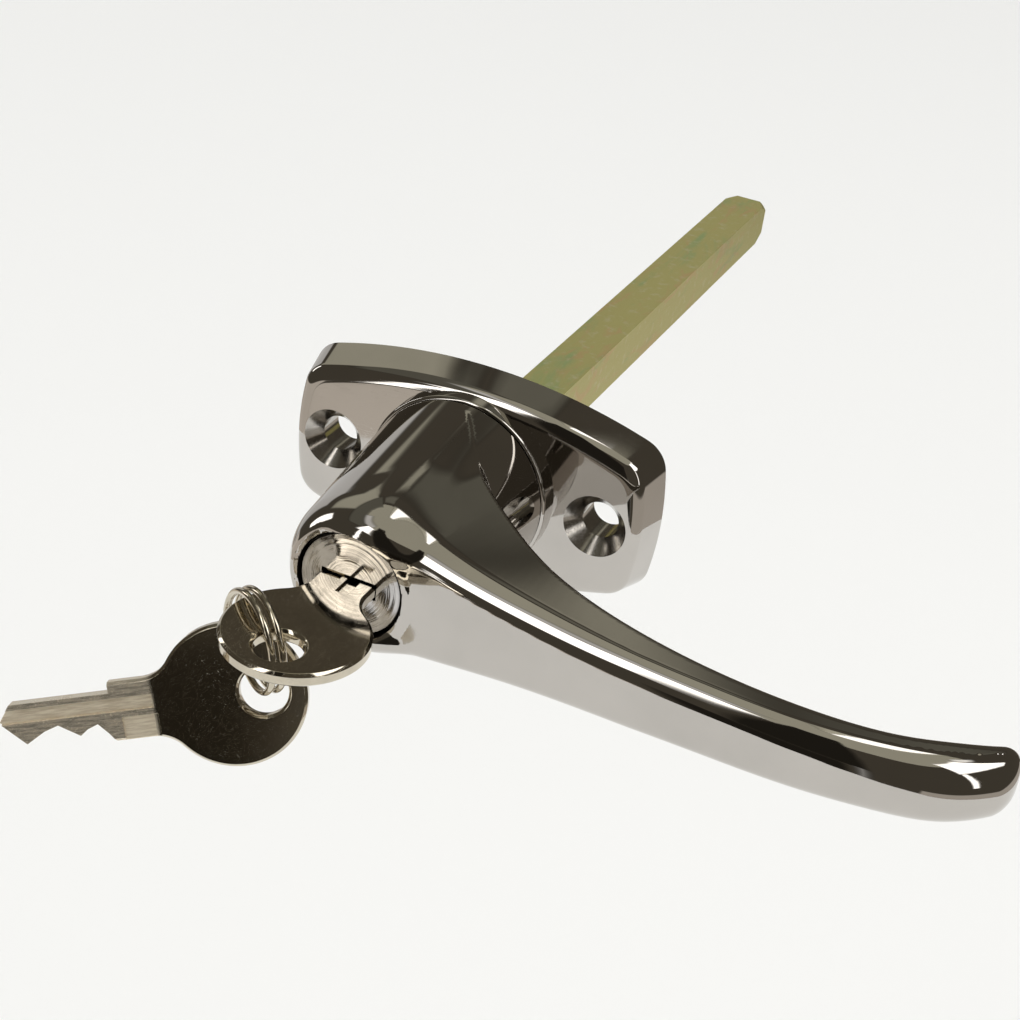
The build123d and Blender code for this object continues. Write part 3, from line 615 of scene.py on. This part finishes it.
class LeverSkin:
    """The lever's outside as a distance in millimetres: a turned hub, and an arm that sweeps out of it."""

    # Sections along the arm, points worked out at a time, a length that counts as none, the step that
    # slopes are measured over, and how often the points are moved
    sections = 320
    batch = 8000
    tiny = 1e-9
    probe = 0.06
    settling_rounds = 4

    def __init__(self, crease, flow):
        self.crease = crease
        self.flow = flow
        stations = np.array(ARM_STATIONS)
        steps = np.hypot(*np.diff(stations[:, :2], axis=0).T)
        shares = np.concatenate([[0], np.cumsum(steps)]) / steps.sum()
        at = np.linspace(0, 1, self.sections)
        curves = smooth_curve(shares, stations, at)
        first_back_round, last_back_round = ARM_BACK_ROUNDS
        self.front = curves[:, 0:2]
        self.back = curves[:, 2:4]
        self.halves = curves[:, 4:6]
        self.front_round = curves[:, 6]
        self.back_round = first_back_round + at * (last_back_round - first_back_round)
        self.stretch = 1 + ARM_FRONT_STRETCH * np.clip(1 - at / ARM_STRETCHED_SHARE, 0, 1)
        self.nose = circle_through(HUB_SHOULDER, HUB_BULGE, HUB_FRONT)

    def hub(self, points):
        """Distance from the hub alone, as if it went on behind its base."""
        radius = np.hypot(points[:, 0], points[:, 2])
        y = points[:, 1]
        base_radius, base_y = HUB_BASE
        taper = (base_radius - HUB_SHOULDER[0]) / (base_y - HUB_SHOULDER[1])
        cone = (radius - base_radius - (y - base_y) * taper) / math.hypot(1, taper)
        centre, reach = self.nose
        nose = np.hypot(radius - centre[0], y - centre[1]) - reach
        side = np.where(y > HUB_SHOULDER[1], cone, nose)
        return rounded_corner(side, HUB_FRONT[1] - y, HUB_RIM_ROUND)

    def arm(self, points):
        """Distance from the arm alone."""
        outward = self.front - self.back
        normal = np.column_stack([-outward[:, 1], outward[:, 0]]) / np.hypot(*outward.T)[:, None]
        offset = (self.back * normal).sum(1)
        side = points[:, :2] @ normal.T - offset
        cell = np.clip((side > 0).sum(1) - 1, 0, self.sections - 2)
        rows = np.arange(len(points))
        before = side[rows, cell]
        after = side[rows, cell + 1]
        share = np.clip(before / np.maximum(before - after, self.tiny), 0, 1)

        def here(values):
            """What the stations' values come to where each point lies along the arm."""
            ratio = share if values.ndim == 1 else share[:, None]
            return values[cell] + (values[cell + 1] - values[cell]) * ratio

        back = here(self.back)
        across = here(self.front) - back
        depth = np.hypot(*across.T)
        along = ((points[:, :2] - back) * across).sum(1) / depth
        halves = here(self.halves)
        slope = (halves[:, 0] - halves[:, 1]) / depth
        half = halves[:, 1] + slope * np.clip(along, 0, depth)
        middle = along - depth / 2
        turn = np.where(middle > 0, here(self.front_round), here(self.back_round))
        faces = (np.abs(middle) - depth / 2) / np.where(middle > 0, here(self.stretch), 1.0)
        flanks = (np.abs(points[:, 2]) - half) / np.hypot(1, slope)
        tip = rounded_corner(rounded_corner(faces, flanks, turn), side[:, -1], ARM_TIP_ROUND)
        return np.maximum(tip, -side[:, 0])

    def distance(self, points):
        """Distance from the lever: crisp where the arm leaves the hub's back, flowing at its nose."""
        hub = self.hub(points)
        batches = np.array_split(points, len(points) // self.batch + 1)
        arm = np.concatenate([self.arm(batch) for batch in batches])
        nose = eased(np.abs(points[:, 2]), *FLOW_BESIDE) * eased(-points[:, 1], *FLOW_AHEAD)
        fillet = self.crease + (self.flow - self.crease) * nose
        near = np.maximum(fillet - np.abs(hub - arm), 0)
        return np.minimum(hub, arm) - near * near / (4 * fillet)

    def slope(self, points):
        """How the distance grows along each axis."""
        rises = []
        for axis in np.eye(3) * self.probe:
            rises.append((self.distance(points + axis) - self.distance(points - axis)) / (2 * self.probe))
        return np.column_stack(rises)

    def settle(self, points):
        """Moves points onto the skin."""
        for _ in range(self.settling_rounds):
            slope = self.slope(points)
            points = points - slope * (self.distance(points) / (slope ** 2).sum(1))[:, None]
        return points


def new_object(name, mesh):
    """Puts a mesh into the scene."""
    made = bpy.data.objects.new(name, mesh)
    bpy.context.collection.objects.link(made)
    return made


def evaluated(thing):
    """The object's mesh with its modifiers worked in."""
    bpy.context.view_layer.update()
    return bpy.data.meshes.new_from_object(thing.evaluated_get(bpy.context.evaluated_depsgraph_get()))


def drop(*things):
    """Takes helpers out of the file."""
    for thing in things:
        mesh = thing.data
        bpy.data.objects.remove(thing)
        bpy.data.meshes.remove(mesh)


def rings_mesh(name, rings):
    """A closed body over rings of points in millimetres, each ring joined to the next, its ends filled."""
    count = len(rings[0])
    points = [tuple(value * MM for value in point) for ring in rings for point in ring]
    faces = [tuple(reversed(range(count))), tuple(range(len(points) - count, len(points)))]
    for row in range(len(rings) - 1):
        for k in range(count):
            after = (k + 1) % count
            faces.append((row * count + k, row * count + after,
                          (row + 1) * count + after, (row + 1) * count + k))
    mesh = bpy.data.meshes.new(name)
    mesh.from_pydata(points, [], faces)
    shape = bmesh.new()
    shape.from_mesh(mesh)
    bmesh.ops.recalc_face_normals(shape, faces=shape.faces)
    shape.to_mesh(mesh)
    shape.free()
    return mesh


def turned(name, profile, segments=96):
    """A body turned about the Y axis from (radius, y) pairs."""
    turns = [2 * math.pi * k / segments for k in range(segments)]
    circle = [(math.sin(turn), math.cos(turn)) for turn in turns]
    rings = [[(radius * x, y, radius * z) for x, z in circle] for radius, y in profile]
    return new_object(name, rings_mesh(name, rings))


def block(name, x, y, z):
    """A box between two values on each axis."""
    outline = ((x[0], z[0]), (x[1], z[0]), (x[1], z[1]), (x[0], z[1]))
    rings = [[(across, depth, height) for across, height in outline] for depth in y]
    return new_object(name, rings_mesh(name, rings))


def cross_pin(name, radius, y, z):
    """A round pin along the Z axis, between two heights."""
    turns = [2 * math.pi * k / PIN_TURN for k in range(PIN_TURN)]
    outline = [(radius * math.cos(turn), y + radius * math.sin(turn)) for turn in turns]
    rings = [[(across, depth, height) for across, depth in outline] for height in z]
    return new_object(name, rings_mesh(name, rings))


def work(thing, operation, *tools):
    """Cuts tools from a body, or joins them to it, and takes the tools away."""
    group = bpy.data.collections.new("tools")
    for tool in tools:
        group.objects.link(tool)
    change = thing.modifiers.new("work", "BOOLEAN")
    change.operation = operation
    change.operand_type = "COLLECTION"
    change.collection = group
    change.solver = "EXACT"
    mesh = evaluated(thing)
    thing.modifiers.clear()
    old = thing.data
    thing.data = mesh
    bpy.data.meshes.remove(old)
    bpy.data.collections.remove(group)
    drop(*tools)


def points_of(mesh):
    """A mesh's points in millimetres."""
    flat = np.empty(len(mesh.vertices) * 3)
    mesh.vertices.foreach_get("co", flat)
    return flat.reshape(-1, 3) / MM


def move_points(mesh, points):
    """Puts a mesh's points where they are given, in millimetres."""
    mesh.vertices.foreach_set("co", (points * MM).ravel())
    mesh.update()


def soften(mesh):
    """Smooth faces, with sharp edges where the surface turns by more than 30 degrees."""
    sharp_turn = math.radians(30.0)
    shape = bmesh.new()
    shape.from_mesh(mesh)
    for face in shape.faces:
        face.smooth = True
    for edge in shape.edges:
        edge.smooth = edge.calc_face_angle(math.pi) < sharp_turn
    shape.to_mesh(mesh)
    shape.free()


def circle_through(start, middle, end):
    """Centre and radius of the circle through three points."""
    matrix = 2 * np.array([np.subtract(middle, start), np.subtract(end, start)])
    squares = [np.dot(point, point) - np.dot(start, start) for point in (middle, end)]
    centre = np.linalg.solve(matrix, squares)
    return centre, math.dist(centre, start)


def crossing(first, second, near):
    """Where two circles cross, at the crossing nearer to a point."""
    (first_centre, first_reach), (second_centre, second_reach) = first, second
    between = second_centre - first_centre
    gap = np.linalg.norm(between)
    along = (first_reach * first_reach - second_reach * second_reach + gap * gap) / (2 * gap)
    off = math.sqrt(first_reach * first_reach - along * along)
    foot = first_centre + between / gap * along
    side = np.array([-between[1], between[0]]) / gap * off
    return min(foot + side, foot - side, key=lambda point: math.dist(point, near))


def arc(centre, start, end, steps):
    """Points on a circle from start towards end, the short way round; end isn't among them."""
    first = np.subtract(start, centre)
    last = np.subtract(end, centre)
    turn = math.atan2(first[0] * last[1] - first[1] * last[0], np.dot(first, last))
    points = []
    for k in range(steps):
        cosine = math.cos(turn * k / steps)
        sine = math.sin(turn * k / steps)
        x = first[0] * cosine - first[1] * sine
        z = first[0] * sine + first[1] * cosine
        points.append(centre + np.array([x, z]))
    return points


def plate_outline(inset):
    """The plate's outline in x and z: four shallow arcs with rounded corners, drawn in by the inset."""
    reach = PLATE_REACH - inset
    rise = PLATE_RISE - inset
    x = PLATE_CORNER[0] - inset
    z = PLATE_CORNER[1] - inset
    sides = [
        circle_through((x, -z), (reach, 0), (x, z)),
        circle_through((x, z), (0, rise), (-x, z)),
        circle_through((-x, z), (-reach, 0), (-x, -z)),
        circle_through((-x, -z), (0, -rise), (x, -z)),
    ]
    radius = PLATE_CORNER_ROUND - inset / 2
    rounds = []
    for k, corner in enumerate([(x, z), (-x, z), (-x, -z), (x, -z)]):
        pair = (sides[k], sides[(k + 1) % 4])
        before, after = ((centre, size - radius) for centre, size in pair)
        middle = crossing(before, after, corner)
        ends = [centre + (middle - centre) / math.dist(middle, centre) * size for centre, size in pair]
        rounds.append((middle, *ends))
    outline = []
    for k, (centre, _) in enumerate(sides):
        middle, start, end = rounds[k]
        outline += arc(centre, rounds[k - 1][2], start, PLATE_SIDE_STEPS[k % 2])
        outline += arc(middle, start, end, PLATE_CORNER_STEPS)
    return outline


def plate_solid():
    """The plate without its collar: a drafted barrel shape whose front edge is rounded."""
    lean = math.atan2(PLATE_DRAFT, -PLATE_FRONT)
    edge_y = PLATE_FRONT + PLATE_EDGE_ROUND * (1 - math.sin(lean))
    centre_inset = -edge_y * math.tan(lean) + PLATE_EDGE_ROUND * math.cos(lean)
    profile = [(0.0, 0.0), (-edge_y * math.tan(lean) / 2, edge_y / 2)]
    for k in range(PLATE_EDGE_STEPS + 1):
        turn = lean + (math.pi / 2 - lean) * k / PLATE_EDGE_STEPS
        inset = centre_inset - PLATE_EDGE_ROUND * math.cos(turn)
        profile.append((inset, PLATE_FRONT + PLATE_EDGE_ROUND * (1 - math.sin(turn))))
    rings = [[(x, y, z) for x, z in plate_outline(inset)] for inset, y in profile]
    return new_object("back_plate", rings_mesh("back_plate", rings))


def collar_solid():
    """The raised ring round the lever, with a rounded edge."""
    rim = [(COLLAR_RADIUS, COLLAR_ROOT)]
    for k in range(COLLAR_EDGE_STEPS + 1):
        turn = math.pi / 2 * k / COLLAR_EDGE_STEPS
        rim.append((COLLAR_RADIUS - COLLAR_EDGE_ROUND * (1 - math.cos(turn)),
                    COLLAR_FRONT + COLLAR_EDGE_ROUND * (1 - math.sin(turn))))
    return turned("collar", rim, COLLAR_TURN)


def pocket_cutter():
    """The room in which the stop plate's tab swings, an arc behind the plate."""
    turns = [math.radians(POCKET_SWING) * k / POCKET_STEPS for k in range(-POCKET_STEPS, POCKET_STEPS + 1)]
    outer, inner = POCKET_RADII
    sweep = [(outer * math.cos(turn), outer * math.sin(turn)) for turn in turns]
    sweep += [(inner * math.cos(turn), inner * math.sin(turn)) for turn in reversed(turns)]
    return new_object("pocket", rings_mesh("pocket", [[(x, y, z) for x, z in sweep] for y in POCKET_ENDS]))


def plate_body():
    """The back plate with its collar, holes and recess; its countersinks take the second material."""
    plate = plate_solid()
    work(plate, "UNION", collar_solid())
    pocket = pocket_cutter()
    holes = [turned("fixing_hole", FIXING_HOLE, FINE_TURN) for _ in range(2)]
    for side, cutter in zip((-1, 1), holes):
        cutter.location.x = side * FIXING_PLACE * MM
    work(plate, "DIFFERENCE", *holes, pocket,
         turned("bore", PLATE_BORE, FINE_TURN),
         turned("recess", RECESS, FINE_TURN),
         block("notch_left", NOTCH_BELOW, NOTCH_ENDS, NOTCH_ACROSS),
         block("notch_top", NOTCH_ACROSS, NOTCH_ENDS, NOTCH_ABOVE),
         block("notch_bottom", NOTCH_ACROSS, NOTCH_ENDS, NOTCH_BELOW))
    soften(plate.data)
    points = points_of(plate.data)
    from_hole = np.hypot(np.abs(points[:, 0]) - FIXING_PLACE, points[:, 2])
    for face in plate.data.polygons:
        in_hole = from_hole[list(face.vertices)].max() < SATIN_RADIUS
        face.material_index = int(in_hole and abs(face.normal.y) < SATIN_SLANT)
    weights = plate.modifiers.new("even_shading", "WEIGHTED_NORMAL")
    weights.weight = 100
    weights.keep_sharp = True
    return plate


def arm_body():
    """A plain loft through the arm's stations, from which its skin starts."""
    rings = []
    for front_x, front_y, back_x, back_y, front_half, back_half, _ in ARM_STATIONS:
        rings.append([(front_x, front_y, front_half), (back_x, back_y, back_half),
                      (back_x, back_y, -back_half), (front_x, front_y, -front_half)])
    return new_object("arm", rings_mesh("arm", rings))


def lever_skin(settings, skin):
    """The lever's outside: hub and arm in one even mesh, whose points are moved onto the skin."""
    hub = turned("hub", [HUB_ROOT, HUB_BASE, HUB_SHOULDER, HUB_BULGE, HUB_FRONT])
    work(hub, "UNION", arm_body())
    grain = hub.modifiers.new("grain", "REMESH")
    grain.mode = "VOXEL"
    grain.voxel_size = settings.grain
    mesh = evaluated(hub)
    drop(hub)
    low, high = (np.array(corner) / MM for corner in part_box("lever_handle"))
    settled = skin.settle(points_of(mesh))
    settled[:, 1] = np.minimum(settled[:, 1], HUB_SKIN_END)
    move_points(mesh, np.clip(settled, low, high))
    return new_object("lever_casting", mesh)


def lever_body(settings):
    """The lever with its journal, bores and slots; its lock's bore takes the second material, bare metal
    darkened as painted shade.
    """
    skin = LeverSkin(settings.crease / MM, settings.flow / MM)
    lever = lever_skin(settings, skin)
    work(lever, "DIFFERENCE", block("behind", *BEHIND_HUB))
    work(lever, "UNION", turned("journal", JOURNAL))
    work(lever, "DIFFERENCE",
         turned("bore", LOCK_BORE),
         block("bolt_room", *BOLT_ROOM),
         block("bolt_slot", *BOLT_SLOT),
         block("socket", *SHAFT_SOCKET),
         cross_pin("shaft_pin_hole", *SHAFT_PIN_HOLE),
         cross_pin("housing_pin_hole", *HOUSING_PIN_HOLE))
    mesh = lever.data
    soften(mesh)
    give_normals(mesh, skin)
    # Faces deep in the lock's bore take the bare metal with painted shade
    for face in mesh.polygons:
        middle = face.center / MM
        in_shaded_bore = math.hypot(middle.x, middle.z) < BARE_BORE_SHADE_RADIUS
        face.material_index = int(in_shaded_bore and middle.y < BARE_BORE_SHADE_START)
    return lever


def give_normals(mesh, skin):
    """Shades the faces that lie on the skin by the skin's own slope, so that it mirrors cleanly."""
    skin_depth = 0.04
    least_agreement = 0.6
    points = points_of(mesh)
    slope = skin.slope(points)
    slope /= np.linalg.norm(slope, axis=1)[:, None]
    on_skin = np.abs(skin.distance(points)) < skin_depth
    corner_point = np.empty(len(mesh.loops), int)
    mesh.loops.foreach_get("vertex_index", corner_point)
    sizes = np.empty(len(mesh.polygons), int)
    mesh.polygons.foreach_get("loop_total", sizes)
    facing = np.empty(len(mesh.polygons) * 3)
    mesh.polygons.foreach_get("normal", facing)
    facing = np.repeat(facing.reshape(-1, 3), sizes, axis=0)
    wanted = slope[corner_point]
    outside = on_skin[corner_point] & ((facing * wanted).sum(1) > least_agreement)
    mesh.normals_split_custom_set(np.where(outside[:, None], wanted, 0.0).tolist())


def eased_copy(name, node, body, width, material):
    """Stands for a CAD node with a copy of its mesh whose sharp edges are slightly rounded."""
    piece = new_object(name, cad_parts[node].data.copy())
    piece.modifiers.new("join", "WELD").merge_threshold = 0.000002
    flat = piece.modifiers.new("flat_faces", "DECIMATE")
    flat.decimate_type = "DISSOLVE"
    flat.angle_limit = math.radians(1.5)
    edge = piece.modifiers.new("eased_edges", "BEVEL")
    edge.width = width
    edge.segments = 3
    edge.limit_method = "ANGLE"
    edge.angle_limit = math.radians(40)
    piece.modifiers.new("even_shading", "WEIGHTED_NORMAL").keep_sharp = True
    piece.data.materials.clear()
    piece.data.materials.append(material)
    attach(piece, body)
    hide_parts(node)


def dress(nodes, material):
    """Gives CAD nodes a material."""
    for name in nodes:
        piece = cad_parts[name]
        piece.data.materials.clear()
        piece.data.materials.append(material)


class LHANDLE_OT_chrome_castings(bpy.types.Operator):
    """Chrome plate on the back plate and the lever"""

    bl_idname = "lhandle.chrome_castings"
    bl_label = "Chrome castings"

    def execute(self, context):
        steel = context.scene.lhandle_steel
        bright = chrome(context.scene.lhandle_chrome)
        # The bore's bare metal is darkened as painted shade
        bore = plain_metal(steel.bore, "bare_bore", rough=0.45)
        satin = plain_metal(steel.satin, "drilled_chrome", rough=0.12)
        castings = (
            (lever_body(context.scene.lhandle_lever), "handle", "lever_handle", bore),
            (plate_body(), "mounting", "escutcheon", satin),
        )
        for casting, body, node, inner in castings:
            casting.data.materials.append(bright)
            casting.data.materials.append(inner)
            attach(casting, body)
            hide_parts(node)
        return {"FINISHED"}


class LHANDLE_OT_square_shaft(bpy.types.Operator):
    """Passivated finish on the square bar"""

    bl_idname = "lhandle.square_shaft"
    bl_label = "Square shaft"

    def execute(self, context):
        settings = context.scene.lhandle_passivated
        zinc = passivated(settings)
        eased_copy("square_bar", "square_shaft", "handle", settings.edge, zinc)
        return {"FINISHED"}


class LHANDLE_OT_lock(bpy.types.Operator):
    """Bright lock face, with its housing darkened as painted shade, and its brass wafers"""

    bl_idname = "lhandle.lock"
    bl_label = "Lock"

    def execute(self, context):
        steel = context.scene.lhandle_steel
        dress(["lock_plug"], lock_chrome(context.scene.lhandle_chrome))
        # The housing takes the same near-black colour, as painted shade where it sits deep in the lever
        dress(["lock_housing"], plain_metal(steel.bore, "turned_zinc", rough=0.4))
        dress([f"wafer_{number}" for number in WAFERS], plain_metal(steel.brass, "wafer_brass", rough=0.22))
        return {"FINISHED"}


class LHANDLE_OT_hidden_steel(bpy.types.Operator):
    """Plated steel pieces and springs that sit inside the handle"""

    bl_idname = "lhandle.hidden_steel"
    bl_label = "Steel pieces and springs"

    def execute(self, context):
        steel = context.scene.lhandle_steel
        dress(["shaft_pin", "housing_pin", "stop_plate", "locking_bolt", "tail_cam"],
              plain_metal(steel.bright, "zinc_plated_steel"))
        springs = [f"wafer_spring_{number}" for number in WAFERS]
        dress(["disc_spring", "retaining_ring", "plug_clip", *springs],
              plain_metal(steel.spring, "spring_steel", rough=0.2, grain_size=0.2))
        return {"FINISHED"}


class LHANDLE_OT_keys(bpy.types.Operator):
    """Nickel plate on the two keys and their split ring"""

    bl_idname = "lhandle.keys"
    bl_label = "Keys and ring"

    def execute(self, context):
        settings = context.scene.lhandle_nickel
        spare = nickel(settings, "nickel_spare_key", milled_blade=True)
        eased_copy("lock_key", "key", "key", settings.edge, nickel(settings, "nickel_key"))
        eased_copy("loose_key", "spare_key", "spare", settings.edge, spare)
        dress(["split_ring"], nickel(settings, "nickel_ring"))
        return {"FINISHED"}


def camera_axes(settings):
    """The camera's right, up and forward directions."""
    flat = Vector((-math.sin(settings.azimuth), math.cos(settings.azimuth), 0.0))
    ahead = flat * math.cos(settings.elevation) - Vector((0.0, 0.0, math.sin(settings.elevation)))
    level = Vector((math.cos(settings.azimuth), math.sin(settings.azimuth), 0.0))
    above = level.cross(ahead)
    right = level * math.cos(settings.roll) + above * math.sin(settings.roll)
    up = above * math.cos(settings.roll) - level * math.sin(settings.roll)
    return right, up, ahead


def add_camera(settings):
    """Sets the camera where the photographer stood."""
    right, up, ahead = camera_axes(settings)
    data = bpy.data.cameras.new("camera")
    data.sensor_width = 36.0
    data.lens = settings.lens
    data.clip_start = 0.01
    data.clip_end = 20.0
    camera = bpy.data.objects.new("camera", data)
    turn = Matrix((right, up, -ahead)).transposed().to_4x4()
    camera.matrix_world = Matrix.Translation(settings.place) @ turn
    bpy.context.collection.objects.link(camera)
    bpy.context.scene.camera = camera


def towards(bearing, height):
    """A unit direction: bearing in degrees from +Y towards +X, height over the horizon."""
    turn = math.radians(bearing)
    rise = math.radians(height)
    return Vector((math.sin(turn) * math.cos(rise), math.cos(turn) * math.cos(rise), math.sin(rise)))


def spread(ends, index, count):
    """The value at an index of a count that is spread evenly between two ends."""
    return ends[0] + (ends[1] - ends[0]) * index / (count - 1)


def shell_patch(name, bearings, heights, distance, softness):
    """A curved card round the handle, between two bearings and two heights; its glow fades at its edges."""
    across, upright = (
        max(3, round(abs(ends[1] - ends[0]) / CARD_STEP) + 1) for ends in (bearings, heights)
    )
    points = []
    glow = []
    for row in range(upright):
        height = spread(heights, row, upright)
        for column in range(across):
            bearing = spread(bearings, column, across)
            points.append(towards(bearing, height) * distance)
            rim = min(bearing - bearings[0], bearings[1] - bearing, height - heights[0], heights[1] - height)
            glow.append(eased(rim, 0, softness) if softness else 1.0)
    faces = []
    for row in range(upright - 1):
        for column in range(across - 1):
            first = row * across + column
            faces.append((first, first + 1, first + across + 1, first + across))
    mesh = bpy.data.meshes.new(name)
    mesh.from_pydata(points, [], faces)
    mesh.attributes.new("glow", "FLOAT", "POINT").data.foreach_set("value", glow)
    return new_object(name, mesh)


def shining(name, shade, strength):
    """A card's glow, clear where the card fades."""
    finish = Finish(name)
    glow = finish.node("ShaderNodeAttribute", {"attribute_name": "glow"}, output="Fac")
    light = finish.mix(glow, (0.0, 0.0, 0.0), shade)
    lamp = finish.node("ShaderNodeEmission", None, {"Color": light, "Strength": strength})
    clear = finish.node("ShaderNodeBsdfTransparent")
    surface = finish.node("ShaderNodeMixShader", None, {0: glow, 1: clear, 2: lamp})
    finish.node("ShaderNodeOutputMaterial", None, {"Surface": surface})
    return finish.material


def add_cards(settings, cards, distances, lights):
    """Cards that the metal mirrors and the camera looks through, each at its own distance."""
    for (name, bearings, heights, shade, strength, softness), distance in zip(cards, distances):
        card = shell_patch(name, bearings, heights, distance, softness)
        card.data.materials.append(shining(name, tuple(getattr(settings, shade)), strength))
        card.visible_camera = False
        card.visible_diffuse = lights
        card.visible_shadow = lights
        card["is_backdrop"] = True


def add_floor(settings, floor_height):
    """A plain pale floor under the handle."""
    mesh = bpy.data.meshes.new("floor")
    reach = 15.0
    square = [(-reach, -reach), (reach, -reach), (reach, reach), (-reach, reach)]
    mesh.from_pydata([(x, y, floor_height) for x, y in square], [], [(0, 1, 2, 3)])
    floor = bpy.data.objects.new("floor", mesh)
    finish = Finish("floor_paper")
    surface = finish.node(
        "ShaderNodeBsdfPrincipled", None,
        {"Base Color": tuple(settings.floor), "Roughness": 0.9, "Specular IOR Level": 0.1},
    )
    finish.node("ShaderNodeOutputMaterial", None, {"Surface": surface})
    mesh.materials.append(finish.material)
    bpy.context.collection.objects.link(floor)
    floor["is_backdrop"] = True


def add_world(shade):
    """The pale surroundings that the camera sees beyond the floor."""
    world = bpy.data.worlds.new("pale_world")
    world.use_nodes = True
    background = world.node_tree.nodes["Background"]
    background.inputs["Color"].default_value = (*shade, 1.0)
    background.inputs["Strength"].default_value = 1.0
    bpy.context.scene.world = world


class LHANDLE_OT_stage(bpy.types.Operator):
    """Camera, floor, soft lamps and the dim room that the chrome mirrors"""

    bl_idname = "lhandle.stage"
    bl_label = "Studio"

    def execute(self, context):
        settings = context.scene.lhandle_stage
        add_camera(settings)
        add_floor(settings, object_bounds()[0].z - settings.floor_drop)
        add_world(tuple(settings.floor))
        walls = [settings.distance * (2 - WALL_GAP ** k) for k in range(1, len(WALL_CARDS) + 1)]
        lamps = [settings.distance * LAMP_SHARE] * len(LAMP_CARDS)
        table = [settings.skirt * TABLE_GAP ** k for k in range(1, len(TABLE_CARDS) + 1)]
        add_cards(settings, WALL_CARDS, walls, False)
        add_cards(settings, LAMP_CARDS, lamps, True)
        add_cards(settings, TABLE_CARDS, table, False)
        context.scene.view_settings.view_transform = "Standard"
        return {"FINISHED"}


OPERATORS = (
    LHANDLE_OT_chrome_castings,
    LHANDLE_OT_square_shaft,
    LHANDLE_OT_lock,
    LHANDLE_OT_hidden_steel,
    LHANDLE_OT_keys,
    LHANDLE_OT_stage,
)


class LHANDLE_PT_panel(bpy.types.Panel):
    """Lists the handle's pieces and the studio in the sidebar"""

    bl_idname = "LHANDLE_PT_panel"
    bl_label = "Locking L-handle"
    bl_space_type = "VIEW_3D"
    bl_region_type = "UI"
    bl_category = "L-handle"

    def draw(self, context):
        for operator in OPERATORS:
            self.layout.operator(operator.bl_idname)


SETTINGS = {
    "lhandle_chrome": ChromeSettings,
    "lhandle_lever": LeverSettings,
    "lhandle_passivated": PassivatedSettings,
    "lhandle_nickel": NickelSettings,
    "lhandle_steel": SteelSettings,
    "lhandle_stage": StageSettings,
}


def register():
    """Makes the settings, the operators and the panel known to Blender."""
    for group in SETTINGS.values():
        bpy.utils.register_class(group)
    for name, group in SETTINGS.items():
        setattr(bpy.types.Scene, name, PointerProperty(type=group))
    for operator in (*OPERATORS, LHANDLE_PT_panel):
        bpy.utils.register_class(operator)


def unregister():
    """Takes them out again, in the opposite order."""
    for operator in reversed((*OPERATORS, LHANDLE_PT_panel)):
        bpy.utils.unregister_class(operator)
    for name in SETTINGS:
        delattr(bpy.types.Scene, name)
    for group in reversed(SETTINGS.values()):
        bpy.utils.unregister_class(group)


def main():
    """Dresses the handle piece by piece."""
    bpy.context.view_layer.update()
    register()
    for operator in OPERATORS:
        group, name = operator.bl_idname.split(".")
        getattr(getattr(bpy.ops, group), name)()


if __name__ == "__main__":
    main()
